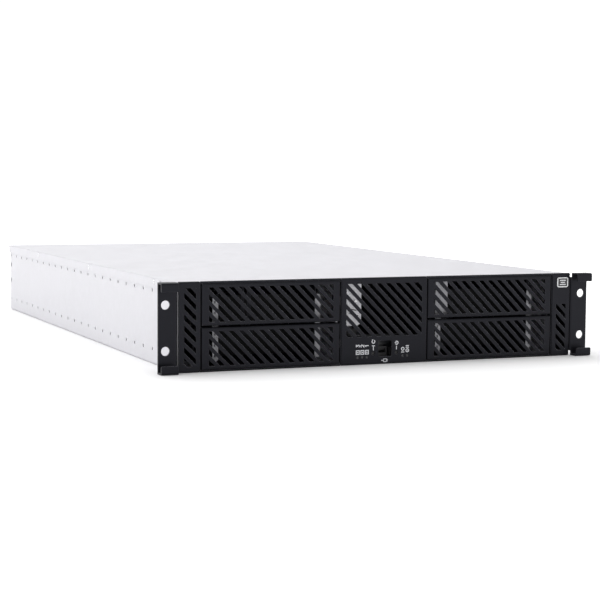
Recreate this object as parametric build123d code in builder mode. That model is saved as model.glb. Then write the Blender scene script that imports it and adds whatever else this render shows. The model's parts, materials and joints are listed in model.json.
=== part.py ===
from build123d import *
import os
from math import cos, radians, sin, sqrt

os.makedirs("parts", exist_ok=True)

# A two-unit rack storage chassis. x runs left to right seen from the front, y runs from
# front to back and z runs up. Sizes are in millimetres.

# ---- overall sizes ----
panel_height = 88.0  # two rack units, less a hair
body_width = 440.0  # over the folded side walls
ear_width = 20.0  # from a side wall to its rack ear's edge
body_depth = 716.5  # front faces to the outside of the rear panel
grip_reach = 10.2  # how far the ears' folded grips stand forward
lid_overhang = 4.9  # how far the lid's pull lip passes the rear panel

total_depth = grip_reach + body_depth + lid_overhang
front = grip_reach - total_depth / 2  # y of the front faces
rear = front + body_depth  # y of the rear panel's outside
half_body = body_width / 2
ear_edge = half_body + ear_width

# ---- sheet thicknesses and bends ----
body_sheet = 1.2
lid_sheet = 1.0
ear_sheet = 2.0
grip_sheet = 1.5
frame_sheet = 2.0
fascia_sheet = 1.0
cover_sheet = 1.2
cage_sheet = 1.2
bend = 1.5  # outside radius of the bezel's and lid's bends
floor_bend = 2.0  # outside radius of the bend from floor to side wall

# ---- clearances ----
seam = 0.3  # between pieces that meet but come apart
screw_clearance = 0.1  # radial, screw shank in its hole
running_clearance = 0.05  # radial, shaft in its bearing

# ---- screws: shank and head radii, and head heights ----
m3_r = 1.5
m3_head_r = 2.9
m4_r = 1.9
m4_head_r = 3.4
fan_screw_r = 2.0
head_height = 1.8

# ---- lid ----
lid_drop = 0.5  # the lid's top lies this far under the panel's top edge
lid_top = panel_height - lid_drop
lid_flange = 9.7  # height of the lid's side flanges
wall_top = lid_top - lid_sheet - seam
lid_ledge = 7.0  # width of the inward ledge that the lid rests over
lid_screw_drop = 4.3  # screw line under the lid's top
lid_screw_y = (71.0, 311.0, 551.0)  # behind the front faces
lid_head_r = 2.4
lid_head_sink = 0.8  # the flat heads sit in dimples, nearly flush
lid_head_proud = 0.15
lid_notch_half = 2.2
lid_flange_start = 53.0  # the side flanges start this far behind the front faces

# ---- side walls' mounting holes ----
wall_hole_r = 1.75
wall_hole_pitch = 30.0
wall_hole_count = 22
wall_hole_first = 80.5  # behind the front faces
wall_hole_low = 15.2
wall_hole_drop = 11.9  # from the upper row to the wall's top edge
wall_hole_rows = wall_top - wall_hole_drop - wall_hole_low
wall_hole_mid_z = wall_hole_low + wall_hole_rows / 2
rear_hole_r = 3.0
rear_hole_inset = 5.5  # from the rear panel's outside
rear_hole_z = (40.7, 61.3)

# ---- rack ears ----
ear_hole_inset = 7.45  # from an ear's edge to its hole line
ear_hole_z = 44.45  # between the two holes of one ear
ear_hole_r = 4.4
ear_leg_depth = 18.0
ear_leg_z = (5.0, panel_height - 4.5)
ear_plate_inset = 2.4  # the plate's flat starts this far outside the side wall
ear_bend = 2.4
grip_height = 8.6
ear_screw_y = 10.5  # behind the front faces
ear_screw_z = (panel_height / 2 - 30.0, panel_height / 2, panel_height / 2 + 30.0)

# ---- front layout: half widths seen from the middle outwards ----
panel_half = 47.4  # control panel
groove = 2.0
cover_width = 146.4
strip_edge = half_body - 1.0  # outer edge of each vent strip
cover_in = panel_half + groove
cover_out = cover_in + cover_width
strip_in = cover_out + groove
cover_mid = (cover_in + cover_out) / 2
cover_foot = 1.9  # under the lower covers
cover_head = 2.1  # over the upper covers
cover_row_gap = 1.6
cover_height = (panel_height - cover_foot - cover_head - cover_row_gap) / 2
cover_depth = 9.0
cover_low = {"lower": cover_foot, "upper": cover_foot + cover_height + cover_row_gap}
cover_travel_gap = groove / 2  # from a cover to the frame's opening

frame_front = front + fascia_sheet
frame_back = frame_front + frame_sheet
frame_flange = 37.0  # side flanges behind the frame's plate
bay_flange = 9.0  # folded edges of the cover openings
rim_low = 1.5
rim_high = 1.9

# ---- slanted vents ----
vent_pitch = 10.54  # along x
vent_slot = 5.5  # along x
cover_vent_margin_x = 7.35
cover_vent_margin_z = 3.7
cover_vent_phase = 2.3
strip_vent = (5.2, 17.5)  # from the left strip's left edge
strip_vent_right = (4.6, 16.8)  # from the right strip's left edge
strip_vent_z = (5.9, panel_height - 6.2)
strip_vent_right_top = panel_height - 32.6
panel_vent_margin = 4.9
panel_vent_z = (28.3, panel_height - 6.0)

# ---- control panel ----
led_x = (-29.6, -24.5, -19.4, 21.0, 26.2)
led_z = 7.6
led_hole_r = 1.2
pipe_r = 1.1
button_z = 11.0
button_x = {"reset_button": -12.2, "power_button": 13.8}
button_hole_r = 1.9
button_r = 1.65
button_travel = 1.2
button_recess = 0.8
button_flange_r = 2.7  # keeps the button behind the panel
usb_x = (-6.7, 8.5)
usb_z = (7.6, 23.8)
board_y = front + 14.0  # front face of the control board
board_thick = 1.6

# ---- drives and cages ----
drive_width = 101.6
drive_length = 147.0
drive_height = 26.1
drive_front = front + 50.0
drive_low = (9.0, 43.5)
drive_play = 0.7  # each side of a drive in its cage
cage_front = front + 14.0
cage_depth = 190.0
cage_top = wall_top - 2.2
cage_flange = 6.0
cage_flange_z = (8.0, wall_top - 14.2)

# ---- fans ----
fan_size = 80.0
fan_depth = 25.0
fan_x = (-100.0, 0.0, 100.0)
fan_lift = 1.8  # over the floor
fan_mid_z = body_sheet + fan_lift + fan_size / 2
fan_wall_y = front + 252.0
fan_rim = 1.5  # thinnest wall round a fan's bore
fan_hub = 17.0
fan_hole_inset = 4.25  # from a fan's sides to its screw holes
fan_hole_r = 2.2
fan_shaft_r = 1.5
blade_count = 7
blade_gap = 0.8

# ---- power supply ----
psu_width = 100.0
psu_height = 70.0
psu_depth = 190.0
psu_wall_gap = 6.8
psu_left = half_body - body_sheet - psu_wall_gap - psu_width
psu_low = body_sheet + 4.0
psu_sheet = 1.0
psu_screw_inset = 4.0

# ---- mainboard ----
board_psu_gap = 20.0
board_right = psu_left - board_psu_gap
board_width = 305.0
board_depth = 244.0
board_rear = rear - 4.5
standoff = 6.5
pcb_low = body_sheet + standoff
pcb_top = pcb_low + board_thick


def span(side, near, far):
    """The x span from near to far, on the left (-1) or the right (1)."""
    return (min(side * near, side * far), max(side * near, side * far))


def block(x, y, z, mode=Mode.ADD):
    """A box that fills three (low, high) spans."""
    middle = tuple((low + high) / 2 for low, high in (x, y, z))
    size = [high - low for low, high in (x, y, z)]
    with Locations(middle):
        Box(*size, mode=mode)


def rod_x(x, y, z, radius, mode=Mode.ADD):
    """A cylinder along x over the span x."""
    with Locations(((x[0] + x[1]) / 2, y, z)):
        Cylinder(radius, x[1] - x[0], rotation=(0, 90, 0), mode=mode)


def rod_y(x, y, z, radius, mode=Mode.ADD):
    """A cylinder along y over the span y."""
    with Locations((x, (y[0] + y[1]) / 2, z)):
        Cylinder(radius, y[1] - y[0], rotation=(90, 0, 0), mode=mode)


def rod_z(x, y, z, radius, mode=Mode.ADD):
    """A cylinder along z over the span z."""
    with Locations((x, y, (z[0] + z[1]) / 2)):
        Cylinder(radius, z[1] - z[0], mode=mode)


def facing(y):
    """The plane through y that faces the front: its sketches read in x and z."""
    return Plane.XZ.offset(-y)


def save(piece, name):
    """Label a finished piece and write it."""
    piece.part.label = name
    export_step(piece.part, f"parts/{name}.step")


def vent_slots(x, z, corner, phase, depth):
    """Cut slots that fall to the right at 45 degrees, clipped to the field x by z.

    Slot edges are where x + z, measured from corner, is phase plus whole pitches.
    """
    middle = ((x[0] + x[1]) / 2, (z[0] + z[1]) / 2)
    reach = (x[1] - x[0]) + (z[1] - z[0])
    base = corner[0] + corner[1] + phase
    first = int((x[0] + z[0] - base) // vent_pitch)
    last = int((x[1] + z[1] - base) // vent_pitch)
    with BuildSketch(facing(front - 1)) as slots:
        for k in range(first, last + 1):
            line = base + k * vent_pitch + vent_slot / 2
            with Locations((line - middle[1], middle[1])):
                Rectangle(2 * reach, vent_slot / sqrt(2), rotation=-45)
        with Locations(middle):
            Rectangle(x[1] - x[0], z[1] - z[0], mode=Mode.INTERSECT)
    extrude(slots.sketch, amount=-(depth + 1), mode=Mode.SUBTRACT)


# =====================================================================================
# Body: the folded base, the rear panel and the lid
# =====================================================================================

base_front = frame_back + seam
inner_half = half_body - body_sheet

with BuildPart() as chassis_base:
    block((-half_body, half_body), (base_front, rear), (0, wall_top))
    fillet(chassis_base.edges().filter_by(Axis.Y).group_by(Axis.Z)[0], floor_bend)
    block(
        (-inner_half, inner_half), (base_front, rear), (body_sheet, wall_top), Mode.SUBTRACT
    )
    for side in (-1, 1):
        block(
            span(side, inner_half - lid_ledge, inner_half),
            (base_front + 50, rear - 20),
            (wall_top - body_sheet, wall_top),
        )
    # Two rows of slide-rail holes through both walls
    hole_mid_y = front + wall_hole_first + wall_hole_pitch * (wall_hole_count - 1) / 2
    with BuildSketch(Plane.YZ.offset(-half_body - 1)):
        with Locations((hole_mid_y, wall_hole_mid_z)):
            with GridLocations(wall_hole_pitch, wall_hole_rows, wall_hole_count, 2):
                Circle(wall_hole_r)
        with Locations([(rear - rear_hole_inset, z) for z in rear_hole_z]):
            Circle(rear_hole_r)
        with Locations([(front + ear_screw_y, z) for z in ear_screw_z]):
            Circle(m4_r + screw_clearance)
    extrude(amount=body_width + 2, mode=Mode.SUBTRACT)
    # Open-topped notches that let the lid lift off with its screws in it
    for y in lid_screw_y:
        block(
            (-half_body - 1, half_body + 1),
            (front + y - lid_notch_half, front + y + lid_notch_half),
            (lid_top - lid_screw_drop - lid_notch_half, wall_top + 1),
            Mode.SUBTRACT,
        )
save(chassis_base, "chassis_base")

# Rear layout
rear_face = (rear - body_sheet, rear)
shield_width = 158.75
shield_height = 44.45
shield_right = board_right - 3.0
shield_x = (shield_right - shield_width, shield_right)
shield_z = (pcb_top - 3.6, pcb_top - 3.6 + shield_height)
slot_pitch = 20.32
slot_count = 7
slot_first = shield_x[0] - 15.0
slot_x = [slot_first - i * slot_pitch for i in range(slot_count)]
slot_z = (14.0, 72.0)
slot_width = 13.0
psu_x = (psu_left, psu_left + psu_width)
psu_z = (psu_low, psu_low + psu_height)
psu_y = (rear - body_sheet - psu_depth, rear - body_sheet)
psu_screws = [
    (x, z)
    for x in (psu_x[0] + psu_screw_inset, psu_x[1] - psu_screw_inset)
    for z in (psu_z[0] + psu_screw_inset, psu_z[1] - psu_screw_inset)
]
rear_fold = 14.0  # depth of the rear panel's folded edges
slot_screw_z = slot_z[1] + 6.0
rear_vent_height = 20.0

with BuildPart() as rear_panel:
    block((-inner_half, inner_half), rear_face, (body_sheet, wall_top))
    for side in (-1, 1):
        block(
            span(side, inner_half - body_sheet, inner_half),
            (rear - rear_fold - 2, rear - body_sheet),
            (body_sheet + 1, wall_top - body_sheet),
        )
    block(
        (-inner_half + 2, inner_half - 2),
        (rear - rear_fold, rear - body_sheet),
        (wall_top - body_sheet, wall_top),
    )
    with BuildSketch(facing(rear + 1)):
        with Locations((sum(shield_x) / 2, sum(shield_z) / 2)):
            Rectangle(shield_width, shield_height)
        with Locations([(x, sum(slot_z) / 2) for x in slot_x]):
            Rectangle(slot_width, slot_z[1] - slot_z[0])
        with Locations((sum(psu_x) / 2, sum(psu_z) / 2)):
            Rectangle(psu_width - 24, psu_height - 4)
            Rectangle(psu_width - 6, psu_height - 24)
        with Locations((sum(shield_x) / 2, (shield_z[1] + wall_top) / 2)):
            with GridLocations(6.4, 0, 24, 1):
                SlotOverall(rear_vent_height, 3.4, rotation=90)
        with Locations(psu_screws):
            Circle(m4_r + screw_clearance)
        with Locations([(x, slot_screw_z) for x in slot_x]):
            Circle(m3_r + screw_clearance)
    extrude(amount=body_sheet + 2, mode=Mode.SUBTRACT)
    with BuildSketch(Plane.YZ.offset(-half_body)):
        with Locations([(rear - rear_hole_inset, z) for z in rear_hole_z]):
            Circle(rear_hole_r)
        with Locations((hole_mid_y, wall_hole_mid_z)):
            with GridLocations(wall_hole_pitch, wall_hole_rows, wall_hole_count, 2):
                Circle(wall_hole_r)
    extrude(amount=body_width, mode=Mode.SUBTRACT)
save(rear_panel, "rear_panel")

lid_half = half_body + seam + lid_sheet
lid_rear = rear + lid_overhang
lid_low = lid_top - lid_flange

with BuildPart() as top_cover:
    block((-lid_half, lid_half), (frame_back + seam, lid_rear), (lid_low, lid_top))
    fillet(top_cover.edges().filter_by(Axis.Y).group_by(Axis.Z)[-1], bend)
    fillet(top_cover.edges().filter_by(Axis.X).group_by(Axis.Y)[-1].group_by(Axis.Z)[-1], bend)
    block(
        (-lid_half + lid_sheet, lid_half - lid_sheet),
        (frame_back, lid_rear - lid_sheet),
        (lid_low - 1, lid_top - lid_sheet),
        Mode.SUBTRACT,
    )
    for side in (-1, 1):
        block(
            span(side, half_body, lid_half + 1),
            (frame_back, front + lid_flange_start),
            (lid_low - 1, lid_top - bend - 0.5),
            Mode.SUBTRACT,
        )
    # Each screw's flat head sits in a shallow step, and its shank passes a smaller hole
    lid_screw_z = lid_top - lid_screw_drop
    step = lid_half - lid_head_sink
    for y in lid_screw_y:
        rod_x((-lid_half - 1, lid_half + 1), front + y, lid_screw_z, m3_r + screw_clearance, Mode.SUBTRACT)
        for side in (-1, 1):
            rod_x(span(side, step, lid_half + 1), front + y, lid_screw_z, lid_head_r + seam, Mode.SUBTRACT)
save(top_cover, "top_cover")

with BuildPart() as lid_screws:
    for side in (-1, 1):
        for y in lid_screw_y:
            outside = lid_half + lid_head_proud
            rod_x(span(side, step, outside), front + y, lid_screw_z, lid_head_r)
            rod_x(span(side, half_body - 4, step), front + y, lid_screw_z, m3_r)
            block(
                span(side, outside - 0.4, outside + 1),
                (front + y - 1.8, front + y + 1.8),
                (lid_screw_z - 0.3, lid_screw_z + 0.3),
                Mode.SUBTRACT,
            )
save(lid_screws, "lid_screws")

# =====================================================================================
# Rack ears
# =====================================================================================

ear_flat = half_body + ear_plate_inset


def make_ear(side, name):
    """A rack ear: leg on the side wall, plate outwards and two folded grips."""
    plate_y = (front, front + ear_sheet)
    with BuildPart() as ear:
        block(span(side, ear_flat, ear_edge), plate_y, (0, panel_height))
        corners = ear.edges().filter_by(Axis.Y)
        fillet(corners.group_by(Axis.X)[-1 if side > 0 else 0], 2.0)
        # Bend and leg, shorter than the plate so that the corners stay open
        with BuildSketch(Plane.XY.offset(ear_leg_z[0])):
            with BuildLine():
                Polyline(
                    (side * ear_flat, front),
                    (side * half_body, front),
                    (side * half_body, front + ear_leg_depth),
                    (side * (half_body + ear_sheet), front + ear_leg_depth),
                    (side * (half_body + ear_sheet), front + ear_sheet),
                    (side * ear_flat, front + ear_sheet),
                    close=True,
                )
            make_face()
        extrude(amount=ear_leg_z[1] - ear_leg_z[0])
        fold = ear.edges().filter_by(Axis.Z).filter_by_position(
            Axis.Y, front - 0.01, front + 0.01
        )
        fillet(fold.sort_by(lambda e: abs(e.center().X))[0], ear_bend)
        # Folded grips at the top and the bottom
        for top in (False, True):
            level = panel_height if top else 0.0
            turn = -1 if top else 1
            with BuildSketch(Plane.YZ.offset(side * ear_flat)):
                with BuildLine():
                    Polyline(
                        (front + ear_sheet, level),
                        (front - grip_reach, level),
                        (front - grip_reach, level + turn * grip_height),
                        (front - grip_reach + grip_sheet, level + turn * grip_height),
                        (front - grip_reach + grip_sheet, level + turn * grip_sheet),
                        (front + ear_sheet, level + turn * grip_sheet),
                        close=True,
                    )
                make_face()
            extrude(amount=side * (ear_edge - ear_flat))
        folds = ear.edges().filter_by(Axis.X).filter_by_position(
            Axis.Y, front - grip_reach - 0.01, front - grip_reach + 0.01
        )
        fillet(folds.group_by(Axis.Z)[0] + folds.group_by(Axis.Z)[-1], 2.0)
        lips = ear.edges().filter_by(Axis.Y).filter_by_position(
            Axis.Y, front - grip_reach, front - grip_reach + grip_sheet
        )
        fillet(lips, 1.2)
        with BuildSketch(facing(front - 1)):
            with Locations((side * (ear_edge - ear_hole_inset), panel_height / 2)):
                with GridLocations(0, ear_hole_z, 1, 2):
                    Circle(ear_hole_r)
        extrude(amount=-(ear_sheet + 2), mode=Mode.SUBTRACT)
        with BuildSketch(Plane.YZ.offset(side * (half_body - 1))):
            with Locations([(front + ear_screw_y, z) for z in ear_screw_z]):
                Circle(m4_r + screw_clearance)
        extrude(amount=side * (ear_sheet + 2), mode=Mode.SUBTRACT)
    save(ear, name)


make_ear(-1, "rack_ear_left")
make_ear(1, "rack_ear_right")

with BuildPart() as ear_screws:
    for side in (-1, 1):
        for z in ear_screw_z:
            y = front + ear_screw_y
            outside = half_body + ear_sheet
            rod_x(span(side, outside, outside + head_height), y, z, m4_head_r)
            rod_x(span(side, inner_half - frame_sheet - 2, outside), y, z, m4_r)
            rod_x(span(side, outside + head_height / 2, outside + 3), y, z, 1.3, Mode.SUBTRACT)
save(ear_screws, "ear_screws")

# =====================================================================================
# Front: frame, fascia pieces, badge and bay covers
# =====================================================================================

open_in = cover_in - cover_travel_gap
open_out = cover_out + cover_travel_gap
plate_y = (frame_front, frame_back)

with BuildPart() as front_frame:
    block((-inner_half, inner_half), plate_y, (0, panel_height))
    for side in (-1, 1):
        # Side flanges inside the walls, and the folded edges of the cover openings
        block(
            span(side, inner_half - frame_sheet, inner_half),
            (frame_back, frame_back + frame_flange),
            (ear_leg_z[0], ear_leg_z[1] - 1),
        )
        for near in (open_in - frame_sheet, open_out):
            block(
                span(side, near, near + frame_sheet),
                (frame_back, frame_back + bay_flange),
                (rim_low + 2, panel_height - rim_high - 2),
            )
        block(
            span(side, open_in, open_out),
            (front, frame_back + 1),
            (rim_low, panel_height - rim_high),
            Mode.SUBTRACT,
        )
        block(
            span(side, strip_in + 3, strip_edge - 4.5),
            (front, frame_back + 1),
            (strip_vent_z[0] - 1, strip_vent_z[1] + 1),
            Mode.SUBTRACT,
        )
        # The fascia pieces fold over the frame's edges here
        block(
            span(side, strip_in - 1, inner_half + 1),
            (front, frame_back + 1),
            (panel_height - fascia_sheet, panel_height + 1),
            Mode.SUBTRACT,
        )
        block(
            span(side, strip_in - 1, inner_half + 1),
            (front, frame_back + 1),
            (-1, fascia_sheet),
            Mode.SUBTRACT,
        )
    block(
        (-panel_half - 1, panel_half + 1),
        (front, frame_back + 1),
        (panel_height - fascia_sheet, panel_height + 1),
        Mode.SUBTRACT,
    )
    block(
        (-panel_half - 1, panel_half + 1),
        (front, frame_back + 1),
        (-1, fascia_sheet),
        Mode.SUBTRACT,
    )
    half_window = panel_half - panel_vent_margin + 1
    block(
        (-half_window, half_window),
        (front, frame_back + 1),
        (panel_vent_z[0] - 1, panel_vent_z[1] + 1),
        Mode.SUBTRACT,
    )
    block(
        (-half_window, half_window),
        (front, frame_back + 1),
        (3.5, panel_vent_z[0] - 3),
        Mode.SUBTRACT,
    )
    with BuildSketch(Plane.YZ.offset(-half_body)):
        with Locations([(front + ear_screw_y, z) for z in ear_screw_z]):
            Circle(m4_r + screw_clearance)
    extrude(amount=body_width, mode=Mode.SUBTRACT)
save(front_frame, "front_frame")


def fascia(x):
    """A full-height fascia piece folded back at its top and bottom, in the current part."""
    block(x, (front, frame_back), (0, panel_height))
    rims = [e for e in edges(Select.ALL).filter_by(Axis.X).group_by(Axis.Y)[0]]
    fillet(rims, bend)
    sides = [e for e in edges(Select.ALL).filter_by(Axis.Z).group_by(Axis.Y)[0]]
    fillet(sides, 0.5)
    block(
        (x[0] - 1, x[1] + 1),
        (front + fascia_sheet, frame_back + 1),
        (fascia_sheet, panel_height - fascia_sheet),
        Mode.SUBTRACT,
    )


badge_x = (strip_edge - 15.8, strip_edge - 2.6)
badge_z = (panel_height - 15.0, panel_height - 4.6)
badge_peg_r = 1.2

with BuildPart() as vent_strip_left:
    fascia((-strip_edge, -strip_in))
    field = (-strip_edge + strip_vent[0], -strip_edge + strip_vent[1])
    vent_slots(field, strip_vent_z, (-strip_edge, panel_height), 0.1, fascia_sheet)
save(vent_strip_left, "vent_strip_left")

with BuildPart() as vent_strip_right:
    fascia((strip_in, strip_edge))
    field = (strip_in + strip_vent_right[0], strip_in + strip_vent_right[1])
    vent_slots(
        field, (strip_vent_z[0], strip_vent_right_top), (strip_in, panel_height), -1.1, fascia_sheet
    )
    for z in (badge_z[0] + 3, badge_z[1] - 3):
        rod_y(sum(badge_x) / 2, (front - 1, front + 2), z, badge_peg_r, Mode.SUBTRACT)
save(vent_strip_right, "vent_strip_right")

with BuildPart() as badge_plate:
    block(badge_x, (front - 0.6, front), badge_z)
    fillet(badge_plate.edges().filter_by(Axis.Y), 2.0)
    for z in (badge_z[0] + 3, badge_z[1] - 3):
        rod_y(sum(badge_x) / 2, (front, front + fascia_sheet), z, badge_peg_r)
save(badge_plate, "badge_plate")

with BuildPart() as control_panel:
    fascia((-panel_half, panel_half))
    field = (-panel_half + panel_vent_margin, panel_half - panel_vent_margin)
    vent_slots(field, panel_vent_z, (-panel_half, panel_height), 0.0, fascia_sheet)
    for x in led_x:
        rod_y(x, (front - 1, front + 2), led_z, led_hole_r, Mode.SUBTRACT)
    for x in button_x.values():
        rod_y(x, (front - 1, front + 2), button_z, button_hole_r, Mode.SUBTRACT)
    block(usb_x, (front - 1, front + 2), usb_z, Mode.SUBTRACT)
save(control_panel, "control_panel")


def make_cover(side, row):
    """One bay cover: a folded pan with slanted vents."""
    name = f"{row}_{'left' if side < 0 else 'right'}"
    x = span(side, cover_in, cover_out)
    low = cover_low[row]
    z = (low, low + cover_height)
    depth = (front, front + cover_depth)
    with BuildPart() as cover:
        block(x, depth, z)
        face = cover.edges().filter_by(GeomType.LINE).group_by(Axis.Y)[0]
        fillet(face, bend)
        block(
            (x[0] + cover_sheet, x[1] - cover_sheet),
            (front + cover_sheet, front + cover_depth + 1),
            (z[0] + cover_sheet, z[1] - cover_sheet),
            Mode.SUBTRACT,
        )
        vent_slots(
            (x[0] + cover_vent_margin_x, x[1] - cover_vent_margin_x),
            (z[0] + cover_vent_margin_z, z[1] - cover_vent_margin_z),
            (x[0], z[1]),
            cover_vent_phase,
            cover_sheet + 0.5,
        )
    save(cover, f"bay_cover_{name}")


for side in (-1, 1):
    for row in ("lower", "upper"):
        make_cover(side, row)

# Spring fingers riveted to the openings' folded edges hold the covers by their sides
finger_sheet = 0.4
finger_height = 9.0
finger_bow = cover_travel_gap - seam - finger_sheet

with BuildPart() as cover_springs:
    for side in (-1, 1):
        for row_low in cover_low.values():
            middle = row_low + cover_height / 2
            z = (middle - finger_height / 2, middle + finger_height / 2)
            for edge, inward in ((open_in, 1), (open_out, -1)):
                block(
                    span(side, edge, edge + inward * finger_sheet),
                    (frame_back, frame_back + bay_flange),
                    z,
                )
                block(
                    span(side, edge, edge + inward * (finger_sheet + finger_bow)),
                    (frame_back + 1.5, frame_back + 4.5),
                    z,
                )
save(cover_springs, "cover_springs")

# =====================================================================================
# Controls behind the panel
# =====================================================================================

usb_face = 11.0  # the socket's mouth lies this far behind the front faces
usb_body_x = (usb_x[0] + 0.4, usb_x[1] - 0.4)
usb_body_z = (5.2, 16.4)
usb_body_y = (front + usb_face, front + usb_face + 14.0)
port_mid_z = 12.6
control_board_x = (-44.0, 34.0)
bracket_screw_x = control_board_x[0] + 3.0
bracket_screw_z = (8.0, 24.0)

with BuildPart() as control_board:
    block(control_board_x, (board_y, board_y + board_thick), (3.0, panel_vent_z[0] + 0.6))
    block(
        (usb_body_x[0] - 0.6, usb_body_x[1] + 0.6),
        (board_y - 1, board_y + board_thick + 1),
        (usb_body_z[0] - 0.6, usb_body_z[1] + 0.6),
        Mode.SUBTRACT,
    )
    for z in bracket_screw_z:
        rod_y(bracket_screw_x, (board_y - 1, board_y + 3), z, m3_r + screw_clearance, Mode.SUBTRACT)
save(control_board, "control_board")

led_height = 0.8

with BuildPart() as status_lights:
    for x in led_x:
        block((x - 1, x + 1), (board_y - led_height, board_y), (led_z - 0.6, led_z + 0.6))
        rod_y(x, (front + 0.2, board_y - led_height), led_z, pipe_r)
save(status_lights, "status_lights")

guide_front = front + 6.5
guide_half = 4.0
switch_depth = 1.6
stem_r = 1.2

with BuildPart() as button_switches:
    for x in button_x.values():
        block(
            (x - guide_half, x + guide_half),
            (guide_front, board_y),
            (button_z - 3.2, button_z + 4.5),
        )
        block(
            (x - guide_half + 1.2, x + guide_half - 1.2),
            (guide_front + 2, board_y),
            (button_z - 2.4, button_z + 2.8),
            Mode.SUBTRACT,
        )
        rod_y(x, (guide_front - 1, board_y), button_z, stem_r + running_clearance, Mode.SUBTRACT)
        block((x - 2.2, x + 2.2), (board_y - switch_depth, board_y), (button_z - 2.2, button_z + 2.2))
save(button_switches, "button_switches")

for name, x in button_x.items():
    with BuildPart() as button:
        rod_y(x, (front + button_recess, front + 4.0), button_z, button_r)
        front_edge = button.edges().group_by(Axis.Y)[0]
        fillet(front_edge, 0.4)
        rod_y(x, (front + 2.0, front + 3.0), button_z, button_flange_r)
        rod_y(x, (front + 4.0, board_y - switch_depth - button_travel - 0.2), button_z, stem_r)
    save(button, name)

usb_mid = sum(usb_body_x) / 2
port_half_x = 6.25
port_half_z = 2.55
port_depth = 10.0

with BuildPart() as usb_socket:
    block(usb_body_x, usb_body_y, usb_body_z)
    block(
        (usb_body_x[0] - 1.4, usb_body_x[1] + 1.4),
        (board_y - 1.2, board_y),
        (usb_body_z[0], usb_body_z[0] + 2.4),
    )
    block(
        (usb_mid - port_half_x, usb_mid + port_half_x),
        (usb_body_y[0] - 1, usb_body_y[0] + port_depth),
        (port_mid_z - port_half_z, port_mid_z + port_half_z),
        Mode.SUBTRACT,
    )
    block(
        (usb_mid - port_half_x + 0.75, usb_mid + port_half_x - 0.75),
        (usb_body_y[0] + 2, usb_body_y[0] + port_depth),
        (port_mid_z + 0.2, port_mid_z + 2.0),
    )
save(usb_socket, "usb_socket")

# The bracket stands on the floor behind the panel's left edge and carries the board
bracket_x = (-47.0, -18.9)
bracket_leg = 11.0
bracket_low = 38.0
bracket_high = panel_vent_z[1] + 2.0
bracket_y = (board_y + board_thick, board_y + board_thick + cage_sheet)
bracket_rivet = (-26.0, 63.0)
bracket_rivet_r = 1.0
bracket_rivet_head_r = 1.7

with BuildPart() as control_bracket:
    block(bracket_x, bracket_y, (bracket_low, bracket_high))
    corner = control_bracket.edges().filter_by(Axis.Y).sort_by(Axis.Z)[:2].sort_by(Axis.X)[-1]
    fillet(corner, 6.0)
    block((bracket_x[0], bracket_x[0] + bracket_leg), bracket_y, (body_sheet, bracket_low + 1))
    block(
        (bracket_x[0], bracket_x[0] + bracket_leg),
        (bracket_y[0], bracket_y[0] + 24),
        (body_sheet, body_sheet + cage_sheet),
    )
    rod_y(
        bracket_rivet[0],
        (bracket_y[0] - 1, bracket_y[1] + 1),
        bracket_rivet[1],
        bracket_rivet_r + screw_clearance,
        Mode.SUBTRACT,
    )
    for z in bracket_screw_z:
        rod_y(bracket_screw_x, (bracket_y[0] - 1, bracket_y[1] + 1), z, m3_r + screw_clearance, Mode.SUBTRACT)
    with BuildSketch(facing(bracket_y[0] - 1)):
        with Locations((-29.5, 55.0), (-27.0, 49.5)):
            SlotOverall(11.0, 0.9, rotation=-14)
    extrude(amount=-(cage_sheet + 2), mode=Mode.SUBTRACT)
save(control_bracket, "control_bracket")

# =====================================================================================
# Drives in their cages
# =====================================================================================

cage_inner = drive_width / 2 + drive_play
cage_outer = cage_inner + cage_sheet
cage_y = (cage_front, cage_front + cage_depth)
drive_y = (drive_front, drive_front + drive_length)
drive_screw_y = (28.5, 130.0)
drive_screw_rise = 6.35

strip_sheet = 0.5
strip_window = (1.2, 2.6)
strip_window_pitch = 10.6
cage_window = (50.0, 9.0)
strut_ribs = ((-27.6, -24.4), (-21.5, -17.1))  # from the left cage's middle
strut_low = cover_low["upper"] - 7.0


def flange_outlines(mid):
    """Round-ended outlines of a cage's two front flanges, in the current sketch."""
    for hand in (-1, 1):
        with Locations((mid + hand * (cage_inner + cage_flange / 2), sum(cage_flange_z) / 2)):
            SlotOverall(cage_flange_z[1] - cage_flange_z[0], cage_flange, rotation=90)


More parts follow.
